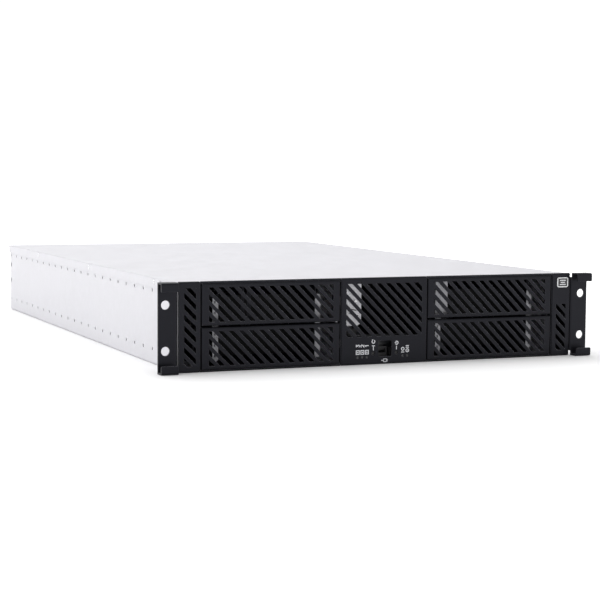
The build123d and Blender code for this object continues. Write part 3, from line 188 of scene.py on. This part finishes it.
def zinc_sheet(name, colour, metallic, low_rough, high_rough, contrast):
    """Galvanised sheet: faint spangle, fine grain, rolling lines, clouds and a few smudges."""
    paint = Paint(name, metallic=metallic)
    wander = paint.noise(9, 2)
    warped = paint.add("VectorMath", operation="MULTIPLY_ADD")
    paint.link(wander, warped.inputs[0])
    warped.inputs[1].default_value = (4 * mm, 4 * mm, 4 * mm)
    paint.link(paint.place, warped.inputs[2])
    spangle = paint.cells(6.5, warped.outputs[0])["Color"]
    tone = paint.add("SeparateColor")
    paint.link(spangle, tone.inputs[0])
    cell_tone = tone.outputs["Red"]
    grain = paint.noise(0.7, 3, 0.7)
    rolled = paint.noise(1.4, 2, 0.6, paint.stretched(1.0, 0.02, 1.0))
    smudge = paint.noise(90, 3)
    cloud = paint.noise(26, 3, 0.6)
    mottle = paint.math(paint.between(cell_tone, -0.6, 0.6), paint.between(grain, -1.1, 1.1))
    mottle = paint.math(mottle, paint.between(rolled, -0.3, 0.3))
    mottle = paint.math(mottle, paint.between(cloud, -0.9, 0.9, 0.2, 0.8))
    shade = paint.between(mottle, 0.0, 1.0, -0.9, 0.9)
    paint.colour(paint.blend(shade, times(colour, 1 - contrast), times(colour, 1 + contrast)))
    rough = paint.math(paint.between(shade, low_rough, high_rough), paint.between(smudge, -0.04, 0.05))
    paint.roughness(rough)
    paint.soften(0.25)
    paint.bump(grain, 0.006)
    paint.bump(rolled, 0.006)
    paint.bump(paint.noise(160, 1), 0.25)
    return paint.material


def powder_coat(name, colour, highlight_colour):
    """Matt powder coat: fine orange peel, tiny specks, and a painted highlight: upper edges painted pale
    and metallic, as if catching the overhead light.
    """
    paint = Paint(name, specular_ior_level=0.23, specular_tint=(0.86, 0.87, 1.0, 1))
    peel = paint.noise(0.9, 2, 0.55)
    fine = paint.noise(0.28, 2, 0.6)
    cloud = paint.noise(38, 3)
    speck = paint.between(paint.noise(0.55, 1, 0.5), 0.0, 1.0, 0.66, 0.76)
    base = paint.blend(paint.between(cloud, 0.25, 0.75), times(colour, 0.86), times(colour, 1.14))
    base = paint.blend(paint.math(speck, 0.22, "MULTIPLY"), base, times(colour, 2.4))
    # Painted highlight: edges that face up are painted pale, metallic and a little smoother.
    painted_highlight = paint.math(paint.upward_edge_highlight(0.9), paint.between(paint.noise(3.5, 3), 0.45, 0.95), "MULTIPLY")
    paint.colour(paint.blend(painted_highlight, base, highlight_colour))
    paint.link(painted_highlight, paint.shader.inputs["Metallic"])
    rough = paint.math(paint.between(peel, 0.31, 0.41), paint.between(cloud, -0.03, 0.04))
    paint.roughness(paint.math(rough, paint.math(painted_highlight, -0.08, "MULTIPLY")))
    paint.soften(0.65)
    paint.bump(peel, 0.012)
    paint.bump(fine, 0.006)
    return paint.material


def plated(name, colour, low_rough, high_rough, brush=(1.0, 1.0, 1.0), metallic=1.0, grain=0.5):
    """A bare or plated metal part with brushed or rolled grain, tarnish and rounded edges."""
    paint = Paint(name, metallic=metallic)
    lines = paint.noise(grain, 3, 0.6, paint.stretched(*brush))
    tarnish = paint.noise(14, 3, 0.6)
    base = paint.blend(paint.between(tarnish, 0.1, 0.8), times(colour, 1.08), times(colour, 0.8))
    paint.colour(paint.blend(paint.between(lines, 0.0, 0.35), base, times(colour, 0.7)))
    rough = paint.between(lines, low_rough, high_rough)
    paint.roughness(paint.math(rough, paint.between(tarnish, -0.05, 0.08)))
    paint.soften(0.2)
    paint.bump(lines, 0.008)
    return paint.material


def drive_case(name):
    """A black e-coated casting whose upward faces are a bright pressed lid."""
    paint = Paint(name, specular_ior_level=0.18)
    facing = paint.add("SeparateXYZ")
    paint.link(paint.add("NewGeometry").outputs["Normal"], facing.inputs[0])
    lid = paint.between(facing.outputs["Z"], 0.0, 1.0, 0.6, 0.8)
    cast = paint.noise(0.8, 3, 0.6)
    brushed = paint.noise(0.5, 3, 0.6, paint.stretched(1.0, 0.08, 1.0))
    casting = paint.blend(paint.between(cast, 0.2, 0.8), (0.0035, 0.0035, 0.004), (0.007, 0.007, 0.008))
    pressed = paint.blend(paint.between(brushed, 0.1, 0.9), (0.42, 0.43, 0.45), (0.6, 0.61, 0.63))
    paint.colour(paint.blend(lid, casting, pressed))
    paint.link(lid, paint.shader.inputs["Metallic"])
    paint.roughness(paint.math(paint.between(cast, 0.42, 0.56), paint.math(lid, -0.16, "MULTIPLY")))
    paint.soften(0.3)
    paint.bump(cast, 0.02)
    return paint.material


def moulded(name, colour, low_rough, high_rough, texture=0.5, coat=0.0):
    """Moulded plastic: spark-eroded texture, faint flow marks and a paler worn edge."""
    paint = Paint(name)
    paint.shader.inputs["Coat Weight"].default_value = coat
    paint.shader.inputs["Coat Roughness"].default_value = 0.18
    grain = paint.noise(texture, 2, 0.6)
    flow = paint.noise(22, 3, 0.6, paint.stretched(1.0, 0.35, 1.0))
    base = paint.blend(paint.between(flow, 0.2, 0.8), times(colour, 0.85), times(colour, 1.2))
    paint.colour(paint.blend(paint.math(paint.edges(0.25), 0.35, "MULTIPLY"), base, times(colour, 2.2)))
    rough = paint.between(grain, low_rough, high_rough)
    paint.roughness(paint.math(rough, paint.between(flow, -0.03, 0.04)))
    paint.soften(0.2)
    paint.bump(grain, 0.01)
    return paint.material


def circuit_board(name, mask_colour, trace_colour, pad_colour):
    """Solder mask over blocks of parallel traces, with rows of plated vias."""
    wave_scale = 190  # bands 1.65 mm apart
    via_pitch = 2.54
    paint = Paint(name, specular_ior_level=0.5)
    paint.shader.inputs["Coat Weight"].default_value = 0.35
    paint.shader.inputs["Coat Roughness"].default_value = 0.25
    zone = paint.add("SeparateColor")
    paint.link(paint.cells(17, metric="MANHATTAN")["Color"], zone.inputs[0])
    traces = []
    for direction in ("X", "Y"):
        wave = paint.add("TexWave", wave_type="BANDS", bands_direction=direction)
        paint.link(paint.place, wave.inputs["Vector"])
        wave.inputs["Scale"].default_value = wave_scale
        traces.append(paint.between(wave.outputs["Fac"], 0.0, 1.0, 0.55, 0.75))
    across = paint.between(zone.outputs["Red"], 0.0, 1.0, 0.49, 0.51)
    lines = paint.math(
        paint.math(traces[0], across, "MULTIPLY"),
        paint.math(traces[1], paint.math(1.0, across, "SUBTRACT"), "MULTIPLY"),
    )
    busy = paint.between(zone.outputs["Green"], 0.0, 1.0, 0.35, 0.4)
    lines = paint.math(lines, busy, "MULTIPLY")
    dots = paint.cells(via_pitch, randomness=0.0)["Distance"]
    vias = paint.between(dots, 1.0, 0.0, 0.16, 0.2)
    vias = paint.math(vias, paint.between(zone.outputs["Blue"], 0.0, 1.0, 0.68, 0.7), "MULTIPLY")
    cloud = paint.between(paint.noise(30), 0.2, 0.8)
    tint = paint.blend(cloud, times(mask_colour, 0.85), times(mask_colour, 1.15))
    base = paint.blend(lines, tint, trace_colour)
    paint.colour(paint.blend(vias, base, pad_colour))
    rough = paint.between(paint.noise(1.2), 0.34, 0.44)
    paint.roughness(paint.math(rough, paint.math(vias, -0.1, "MULTIPLY")))
    paint.bump(lines, 0.03)
    paint.bump(vias, 0.03)
    return paint.material


def printed(name, colour):
    """Screen-printed ink: slightly uneven cover and a soft sheen."""
    paint = Paint(name, specular_ior_level=0.3)
    cover = paint.noise(0.35, 3, 0.6)
    paint.colour(paint.blend(paint.between(cover, 0.1, 0.9), times(colour, 0.86), colour))
    paint.roughness(paint.between(cover, 0.42, 0.6))
    paint.bump(cover, 0.004)
    return paint.material


# Colours are linear red, green and blue.
body_zinc = (0.672, 0.668, 0.70)
coat = (0.0060, 0.0061, 0.0080)

finishes = {
    "zinc_steel": zinc_sheet("zinc steel", body_zinc, 0.10, 0.38, 0.52, 0.032),
    # The last colour is the painted highlight along the upper edges.
    "black_coat": powder_coat("black coat", coat, (0.30, 0.30, 0.325)),
    "bright_screw": plated("bright screw", (0.74, 0.74, 0.76), 0.16, 0.3, grain=0.4),
    "black_screw": plated("black screw", (0.04, 0.04, 0.043), 0.3, 0.45, metallic=0.7),
    "spring_steel": plated("spring steel", (0.5, 0.5, 0.52), 0.22, 0.38, (1.0, 1.0, 0.1)),
    "badge_white": moulded("badge white", (0.82, 0.83, 0.85), 0.25, 0.35, 0.4, 0.4),
    "circuit_board": circuit_board(
        "circuit board", (0.012, 0.085, 0.035), (0.03, 0.15, 0.06), (0.72, 0.62, 0.36)
    ),
    "black_plastic": moulded("black plastic", (0.018, 0.018, 0.02), 0.42, 0.56),
    "rocker_plastic": moulded("rocker plastic", (0.02, 0.02, 0.02), 0.16, 0.24, 0.8, 0.5),
    "port_metal": plated("port metal", (0.66, 0.67, 0.69), 0.2, 0.34, (0.1, 1.0, 1.0)),
    "drive_alloy": drive_case("drive case"),
    "sink_alloy": plated("sink alloy", (0.66, 0.67, 0.69), 0.26, 0.4, (1.0, 0.05, 1.0)),
    "brass_post": plated("brass post", (0.66, 0.5, 0.2), 0.2, 0.34, (1.0, 1.0, 0.3)),
    "psu_steel": plated("supply steel", (0.40, 0.41, 0.43), 0.3, 0.44, (1.0, 0.08, 1.0), grain=0.9),
    "psu_parts": moulded("supply parts", (0.07, 0.08, 0.035), 0.4, 0.55, 0.8),
}

# Nodes whose finish differs from that of their slot.
dark_board = circuit_board("dark board", (0.008, 0.009, 0.011), (0.02, 0.022, 0.025), (0.5, 0.44, 0.28))
bright_tin = zinc_sheet("bright tin", (0.74, 0.74, 0.77), 0.6, 0.24, 0.40, 0.09)
shield_tin = zinc_sheet("shield tin", (0.5, 0.5, 0.53), 0.5, 0.28, 0.42, 0.08)
cap_black = moulded("button black", (0.004, 0.004, 0.0045), 0.25, 0.35, 0.4)
by_node = {
    "control_board": dark_board,
    "backplanes": dark_board,
    "drive_boards": dark_board,
    "control_bracket": bright_tin,
    "bay_shields": shield_tin,
    "usb_socket": moulded("socket grey", (0.06, 0.06, 0.063), 0.4, 0.55, 0.4),
    "power_button": cap_black,
    "reset_button": cap_black,
    "status_lights": moulded("smoked pipe", (0.012, 0.012, 0.013), 0.12, 0.2, 0.6, 0.6),
}

for node, piece in frame["nodes"].items():
    piece.data.materials.clear()
    piece.data.materials.append(by_node[node] if node in by_node else finishes[slot_of[node]])

white_ink = printed("white ink", (0.78, 0.79, 0.82))
dark_inlay = moulded("badge inlay", (0.014, 0.014, 0.016), 0.2, 0.3, 0.5, 0.3)
label_paper = printed("plain label", (0.72, 0.73, 0.74))
chip_black = moulded("chip black", (0.016, 0.016, 0.017), 0.35, 0.5, 0.3)
can_metal = plated("capacitor can", (0.68, 0.69, 0.72), 0.16, 0.28, grain=0.5)
choke_grey = moulded("choke grey", (0.09, 0.09, 0.095), 0.4, 0.55, 0.4)
wire_metal = plated("guard wire", (0.7, 0.7, 0.72), 0.18, 0.3, grain=0.6)


# =====================================================================================
# Helpers for pieces
# =====================================================================================


def finished(name, mesh, material, body="chassis"):
    """Turn a bmesh built in millimetres into a piece that rides on a body."""
    bmesh.ops.scale(mesh, vec=(mm, mm, mm), verts=mesh.verts)
    bmesh.ops.recalc_face_normals(mesh, faces=mesh.faces)
    data = bpy.data.meshes.new(name)
    mesh.to_mesh(data)
    mesh.free()
    data.materials.append(material)
    piece = bpy.data.objects.new(name, data)
    bpy.context.scene.collection.objects.link(piece)
    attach(piece, body)


def soft_block(mesh, x, y, z, radius, segments=2):
    """A box over three spans with rounded edges."""
    made = bmesh.ops.create_cube(mesh, size=1.0)["verts"]
    low = Vector((x[0], y[0], z[0]))
    high = Vector((x[1], y[1], z[1]))
    bmesh.ops.scale(mesh, vec=high - low, verts=made)
    bmesh.ops.translate(mesh, vec=(low + high) / 2, verts=made)
    rims = list({edge for vert in made for edge in vert.link_edges})
    bmesh.ops.bevel(
        mesh,
        geom=rims,
        offset=radius,
        segments=segments,
        profile=0.5,
        affect="EDGES",
        clamp_overlap=True,
    )


def turned(mesh, profile, origin, steps=24):
    """Turn a (radius, height) profile about a vertical axis."""
    rings = []
    for radius, height in profile:
        count = steps if radius > 0 else 1
        angles = [2 * pi * k / steps for k in range(count)]
        spots = [(radius * cos(angle), radius * sin(angle), height) for angle in angles]
        rings.append([mesh.verts.new(Vector(origin) + Vector(spot)) for spot in spots])
    for under, over in zip(rings, rings[1:]):
        for k in range(steps):
            corners = [under[k % len(under)], under[(k + 1) % len(under)]]
            corners += [over[(k + 1) % len(over)], over[k % len(over)]]
            corners = list(dict.fromkeys(corners))
            if len(corners) > 2:
                mesh.faces.new(corners)


def can(mesh, x, y, low, size):
    """An upright capacitor can of a (radius, height), with rounded rims and a groove near its foot."""
    radius, height = size
    profile = [
        (0.0, 0.0),
        (radius - 0.3, 0.0),
        (radius, 0.4),
        (radius, 1.4),
        (radius - 0.3, 1.8),
        (radius, 2.2),
        (radius, height - 0.6),
        (radius - 0.6, height),
        (radius - 1.0, height - 0.1),
        (0.0, height - 0.1),
    ]
    turned(mesh, profile, (x, y, low))


# =====================================================================================
# White marks on the control panel
# =====================================================================================

ink_depth = 0.05
panel_face = span("control_panel", 1)[0]


class Stencil:
    """Flat strokes on the control panel, drawn in mark heights from a corner."""

    def __init__(self, corner, height, upwards):
        self.mesh = bmesh.new()
        self.corner = corner
        self.height = height
        self.upwards = upwards

    def point(self, u, v):
        """u runs along the mark and v across it; an upward mark reads from bottom to top."""
        along, across = u * self.height, v * self.height
        if self.upwards:
            return (self.corner[0] - across, self.corner[1] + along)
        return (self.corner[0] + along, self.corner[1] + across)

    def stroke(self, points, width=0.2, closed=False):
        """A thick line through the points, with mitred joins."""
        sharpest = 0.45  # a mitre is never longer than half the width over this
        count = len(points)
        path = [Vector(self.point(*p)) for p in points]
        half = width * self.height / 2
        left, right = [], []
        for k, here in enumerate(path):
            before = path[k - 1] if k or closed else None
            after = path[(k + 1) % count] if k < count - 1 or closed else None
            into = (here - before).normalized() if before is not None else None
            out = (after - here).normalized() if after is not None else None
            into, out = into or out, out or into
            side = Vector((-into.y - out.y, into.x + out.x)).normalized()
            reach = half / max(sharpest, side.dot(Vector((-into.y, into.x))))
            left.append(here + side * reach)
            right.append(here - side * reach)
        for k in range(count if closed else count - 1):
            after = (k + 1) % count
            self.plate([left[k], left[after], right[after], right[k]])

    def plate(self, outline):
        """A filled shape as thick as the ink."""
        back = [self.mesh.verts.new((p[0], panel_face, p[1])) for p in outline]
        face = [self.mesh.verts.new((p[0], panel_face - ink_depth, p[1])) for p in outline]
        self.mesh.faces.new(face)
        self.mesh.faces.new(back[::-1])
        for k in range(len(outline)):
            after = (k + 1) % len(outline)
            self.mesh.faces.new((face[k], back[k], back[after], face[after]))

    def fill(self, points):
        self.plate([self.point(*p) for p in points])

    def arc(self, middle, radius, start, end, width=0.2, steps=20, closed=False):
        count = steps if closed else steps + 1
        angles = [radians(start + (end - start) * k / steps) for k in range(count)]
        points = [(middle[0] + radius * cos(a), middle[1] + radius * sin(a)) for a in angles]
        self.stroke(points, width, closed)

    def square(self, u, v, size):
        self.fill([(u, v), (u + size, v), (u + size, v + size), (u, v + size)])


digit_start = 1.75
digits = {
    1: [(0.1, 0.72), (0.36, 0.95), (0.36, 0.04)],
    2: [(0.04, 0.72), (0.16, 0.9), (0.42, 0.92), (0.56, 0.72), (0.5, 0.5), (0.06, 0.1), (0.6, 0.1)],
    3: [(0.06, 0.9), (0.52, 0.9), (0.3, 0.56), (0.54, 0.42), (0.54, 0.2), (0.32, 0.06), (0.04, 0.16)],
}


def network_mark(number, ink):
    """A port's outline and a number."""
    ink.stroke([(0.08, 0.1), (0.98, 0.1), (0.98, 0.9), (0.08, 0.9)], closed=True)
    ink.square(0.38, 0.35, 0.3)
    ink.stroke([(digit_start + u, v) for u, v in digits[number]])


def restart_mark(ink):
    """A leader line from the button, a bar across its end and a turning arrow."""
    ink.stroke([(0.0, 0.5), (1.1, 0.5)])
    ink.stroke([(1.1, 0.1), (1.1, 0.9)])
    ink.arc((2.1, 0.5), 0.38, 40, 330)
    ink.fill([(2.32, 0.78), (2.66, 0.86), (2.56, 0.48)])


def power_mark(ink):
    """A leader line and the usual ring with a bar."""
    ink.stroke([(0.0, 0.5), (0.9, 0.5)])
    ink.arc((1.62, 0.46), 0.38, 130, 410)
    ink.stroke([(1.62, 0.5), (1.62, 0.98)])


def on_mark(ink):
    """A bar and a ring."""
    ink.stroke([(0.12, 0.08), (0.12, 0.92)])
    ink.arc((0.9, 0.5), 0.36, 0, 360, steps=24, closed=True)


def drive_mark(ink):
    """A disc seen from above, and two bars."""
    ink.arc((0.5, 0.5), 0.38, 0, 360, steps=24, closed=True)
    ink.square(0.4, 0.4, 0.2)
    ink.stroke([(1.25, 0.08), (1.25, 0.92)])
    ink.stroke([(1.65, 0.08), (1.65, 0.92)])


def plug_mark(ink):
    """A plug seen from the side, with two contacts and its lead."""
    ink.stroke([(0.75, 0.14), (1.55, 0.14), (1.55, 0.86), (0.75, 0.86)], 0.15, True)
    ink.square(1.72, 0.22, 0.2)
    ink.square(1.72, 0.58, 0.2)
    ink.stroke([(0.1, 0.5), (0.75, 0.5)])


pipe_low, pipe_high = span("status_lights", 0)
light_z = sum(span("status_lights", 2)) / 2
light_margin = 1.1  # from a light's middle to its edge
light_pitch = 5.1  # between the three network lights
pair_pitch = 5.2  # between the last two lights
mark_height = 4.2
plug_height = 4.0
plug_corner = (-3.6, 1.6)
network_lift, light_lift, button_lift = 2.8, 3.1, 3.2  # from a light or button up to its mark
first_light = pipe_low + light_margin
last_light = pipe_high - light_margin

upright_marks = [
    (
        f"network_mark_{number}",
        first_light + k * light_pitch,
        light_z + network_lift,
        partial(network_mark, number),
    )
    for k, number in enumerate((3, 2, 1))
]
upright_marks += [
    ("on_mark", last_light - pair_pitch, light_z + light_lift, on_mark),
    ("drive_mark", last_light, light_z + light_lift, drive_mark),
]
for name, button, draw in (
    ("restart_mark", "reset_button", restart_mark),
    ("power_mark", "power_button", power_mark),
):
    x, z = (sum(span(button, axis)) / 2 for axis in (0, 2))
    upright_marks.append((name, x, z + button_lift, draw))

for name, x, z, draw in upright_marks:
    ink = Stencil((x + mark_height / 2, z), mark_height, True)
    draw(ink)
    finished(name, ink.mesh, white_ink)

ink = Stencil(plug_corner, plug_height, False)
plug_mark(ink)
finished("plug_mark", ink.mesh, white_ink)

# =====================================================================================
# Badge: a dark inlay with three plain bars
# =====================================================================================

badge_x = span("badge_plate", 0)
badge_z = span("badge_plate", 2)
badge_face = span("badge_plate", 1)[0]
badge_mid = sum(badge_x) / 2
badge_rim = 1.0
inlay_proud = 0.06
bar_proud = 0.12
bar_pitch = 2.2
bar_half = 0.5
corner = 0.05

mesh = bmesh.new()
inlay_x = (badge_x[0] + badge_rim, badge_x[1] - badge_rim)
inlay_z = (badge_z[0] + badge_rim, badge_z[1] - badge_rim)
soft_block(mesh, inlay_x, (badge_face - inlay_proud, badge_face + 0.1), inlay_z, corner)
finished("badge_inlay", mesh, dark_inlay)

mesh = bmesh.new()
for k, half in enumerate((3.6, 2.6, 3.6)):
    x = (badge_mid - half, badge_mid + half)
    z = sum(badge_z) / 2 + (k - 1) * bar_pitch
    soft_block(mesh, x, (badge_face - bar_proud, badge_face), (z - bar_half, z + bar_half), corner)
finished("badge_bars", mesh, white_ink)

# =====================================================================================
# Small parts on the mainboard and the control board
# =====================================================================================

board_x = span("mainboard", 0)
board_y = span("mainboard", 1)
board_face = span("mainboard", 2)[1]
board_foot = board_face - 0.1  # small parts start a little inside the board
sink_y = span("heatsinks", 1)

coil_start, coil_pitch, coil_size, coil_height = 182, 14, 10, 6
coil_y = sink_y[1] + 4
mesh = bmesh.new()
for k in range(6):
    x = board_x[0] + coil_start + coil_pitch * k
    z = (board_foot, board_face + coil_height)
    soft_block(mesh, (x, x + coil_size), (coil_y, coil_y + coil_size), z, 0.8)
finished("regulator_coils", mesh, choke_grey)

big_can, small_can = (4.0, 10.5), (3.6, 9.0)  # radius and height
row_start, row_pitch, row_back = 180, 13, 21
column_x, column_start, column_pitch = 168, 20, 16
lone_cans = [(118, 96), (128, 96), (118, 106), (40, 40), (52, 40), (28, 78)]
mesh = bmesh.new()
for k in range(7):
    can(mesh, board_x[0] + row_start + row_pitch * k, sink_y[1] + row_back, board_foot, big_can)
for k in range(4):
    y = sink_y[1] - column_start - column_pitch * k
    can(mesh, board_x[0] + column_x, y, board_foot, small_can)
for x, y in lone_cans:
    can(mesh, board_x[0] + x, board_y[0] + y, board_foot, small_can)
finished("board_capacitors", mesh, can_metal)

control_y = span("control_board", 1)[0]
control_back = control_y + 0.1
control_top = span("control_board", 2)[1]
pin_starts, pin_width, pin_depth = (-34.5, -25.0), 5.5, 2.4
pin_z = (control_top - 1.0, control_top - 0.1)
header_x, header_depth = (-36.0, -26.5), 5.0
header_z = (control_top - 0.1, control_top + 7.0)
mesh = bmesh.new()
for x in pin_starts:
    soft_block(mesh, (x, x + pin_width), (control_y - pin_depth, control_back), pin_z, 0.15)
finished("control_header_pins", mesh, can_metal)
mesh = bmesh.new()
soft_block(mesh, header_x, (control_y - header_depth, control_back), header_z, 0.3)
finished("control_header", mesh, chip_black)

chips = [  # place from the board's corner, then width, depth and height
    (92, 148, 14, 14, 1.4),
    (124, 132, 18, 18, 1.6),
    (30, 50, 8, 5, 1.8),
    (46, 62, 8, 5, 1.8),
    (12, 22, 12, 12, 1.4),
    (96, 26, 10, 6, 1.6),
    (112, 26, 10, 6, 1.6),
    (122, 188, 12, 12, 1.4),
]
mesh = bmesh.new()
for along, across, wide, deep, tall in chips:
    x = board_x[0] + along
    y = board_y[0] + across
    soft_block(mesh, (x, x + wide), (y, y + deep), (board_foot, board_face + tall), 0.25)
finished("board_chips", mesh, chip_black)

# =====================================================================================
# Plain labels on the drives
# =====================================================================================

label_inset = 16
label_back = 10
label_depth = 32
for number in range(1, 5):
    x, y, z = (span(f"hard_drive_{number}", axis) for axis in range(3))
    label_x = (x[0] + label_inset, x[1] - label_inset)
    label_y = (y[1] - label_back - label_depth, y[1] - label_back)
    mesh = bmesh.new()
    soft_block(mesh, label_x, label_y, (z[1] - 0.05, z[1] + 0.1), 0.04, 1)
    finished(f"drive_label_{number}", mesh, label_paper)

# =====================================================================================
# Wire guard over the power supply's fan
# =====================================================================================


def ring_of_wire(mesh, middle, radius, y, wire, turns=48, sides=8):
    """A closed wire ring in the X-Z plane."""
    loops = []
    for k in range(turns):
        angle = 2 * pi * k / turns
        outward = Vector((cos(angle), 0, sin(angle)))
        centre = Vector((middle[0], y, middle[1])) + outward * radius
        loop = []
        for j in range(sides):
            around = 2 * pi * j / sides
            offset = outward * wire * cos(around) + Vector((0, wire * sin(around), 0))
            loop.append(mesh.verts.new(centre + offset))
        loops.append(loop)
    for k in range(turns):
        after = loops[(k + 1) % turns]
        for j in range(sides):
            mesh.faces.new((loops[k][j], loops[k][(j + 1) % sides], after[(j + 1) % sides], after[j]))


frame_x = span("psu_fan_frame", 0)
fan_x = sum(frame_x) / 2
fan_z = sum(span("psu_fan_frame", 2)) / 2
guard_y = span("psu_case", 1)[1] - 0.6
cross_length = frame_x[1] - frame_x[0] - 5.2
wire = 0.5  # the wire's radius
mesh = bmesh.new()
for radius in (9.0, 15.0, 21.0, 26.0):
    ring_of_wire(mesh, (fan_x, fan_z), radius, guard_y, wire)
for angle in (45, 135):
    made = bmesh.ops.create_cone(
        mesh, cap_ends=True, segments=8, radius1=wire, radius2=wire, depth=cross_length
    )["verts"]
    bmesh.ops.rotate(mesh, matrix=Matrix.Rotation(radians(angle), 3, "Y"), verts=made)
    bmesh.ops.translate(mesh, vec=(fan_x, guard_y - wire, fan_z), verts=made)
finished("fan_guard", mesh, wire_metal)

# =====================================================================================
# Stage, light and camera
# =====================================================================================


def floor_paint():
    """White paper that glows more with distance, to run into the bright backdrop."""
    paint = Paint("floor white")
    glow = 0.9
    glow_start, glow_end = 0.45, 1.5  # metres from the object's middle
    length = paint.add("VectorMath", operation="LENGTH")
    paint.link(paint.place, length.inputs[0])
    far = paint.between(length.outputs["Value"], 0.0, glow, glow_start, glow_end)
    fibre = paint.noise(3, 2)
    paint.colour(paint.blend(paint.between(fibre, 0.0, 1.0), (0.93, 0.93, 0.935), (0.95, 0.95, 0.955)))
    paint.roughness(paint.between(fibre, 0.8, 0.9))
    paint.bump(fibre, 0.01)
    paint.shader.inputs["Emission Color"].default_value = (1, 1, 1, 1)
    paint.link(far, paint.shader.inputs["Emission Strength"])
    return paint.material


floor_reach = 14.0
floor_drop = 0.2 * mm
mesh = bmesh.new()
bmesh.ops.create_grid(mesh, x_segments=24, y_segments=24, size=floor_reach)
data = bpy.data.meshes.new("floor")
mesh.to_mesh(data)
mesh.free()
data.materials.append(floor_paint())
floor = bpy.data.objects.new("floor", data)
floor.location.z = -floor_drop
bpy.context.scene.collection.objects.link(floor)

scene = bpy.context.scene
fill_strength = 0.56
backdrop_strength = 1.05  # what the camera sees behind the floor
world = bpy.data.worlds.new("studio")
scene.world = world
world.use_nodes = True
nodes = world.node_tree.nodes
fill = nodes["Background"]
fill.inputs["Color"].default_value = (1, 1, 1, 1)
fill.inputs["Strength"].default_value = fill_strength
backdrop = nodes.new("ShaderNodeBackground")
backdrop.inputs["Color"].default_value = (1, 1, 1, 1)
backdrop.inputs["Strength"].default_value = backdrop_strength
choice = nodes.new("ShaderNodeMixShader")
rays = nodes.new("ShaderNodeLightPath")
world.node_tree.links.new(rays.outputs["Is Camera Ray"], choice.inputs[0])
world.node_tree.links.new(fill.outputs[0], choice.inputs[1])
world.node_tree.links.new(backdrop.outputs[0], choice.inputs[2])
world.node_tree.links.new(choice.outputs[0], nodes["World Output"].inputs[0])


def softbox(name, place, aim, width, height, watts):
    """A rectangular area light that looks at a point."""
    data = bpy.data.lights.new(name, "AREA")
    data.shape = "RECTANGLE"
    data.size = width
    data.size_y = height
    data.energy = watts
    lamp = bpy.data.objects.new(name, data)
    lamp.location = place
    lamp.rotation_euler = (Vector(aim) - Vector(place)).to_track_quat("-Z", "Y").to_euler()
    scene.collection.objects.link(lamp)


softbox("overhead", (-0.15, 0.6, 1.9), (0, 0.1, 0), 2.4, 2.2, 36)
softbox("left side", (-2.0, -0.8, 0.9), (-0.2, 0, 0), 1.4, 1.4, 12)
softbox("right side", (2.2, -0.6, 0.9), (0.1, -0.2, 0.05), 1.2, 1.2, 10)

# The camera's angles are in radians: its turn about the vertical, its dip below level, its roll.
camera_place = Vector((-0.7014, -1.7810, 0.2004))
camera_turn = -0.4033
camera_dip = 0.0856
camera_roll = 0.0076
heading = Vector((-sin(camera_turn), cos(camera_turn), 0))
ahead = heading * cos(camera_dip) - Vector((0, 0, sin(camera_dip)))
level = Vector((cos(camera_turn), sin(camera_turn), 0))
upright = level.cross(ahead)
right = level * cos(camera_roll) + upright * sin(camera_roll)
above = upright * cos(camera_roll) - level * sin(camera_roll)
turn = Matrix((right, above, -ahead)).transposed().to_4x4()
lens = bpy.data.cameras.new("camera")
lens.lens = 94.5
lens.sensor_width = 36.0
lens.clip_start = 0.05
lens.clip_end = 60.0
camera = bpy.data.objects.new("camera", lens)
camera.matrix_world = Matrix.Translation(camera_place) @ turn
scene.collection.objects.link(camera)
scene.camera = camera
scene.view_settings.view_transform = "Standard"
scene.view_settings.look = "None"
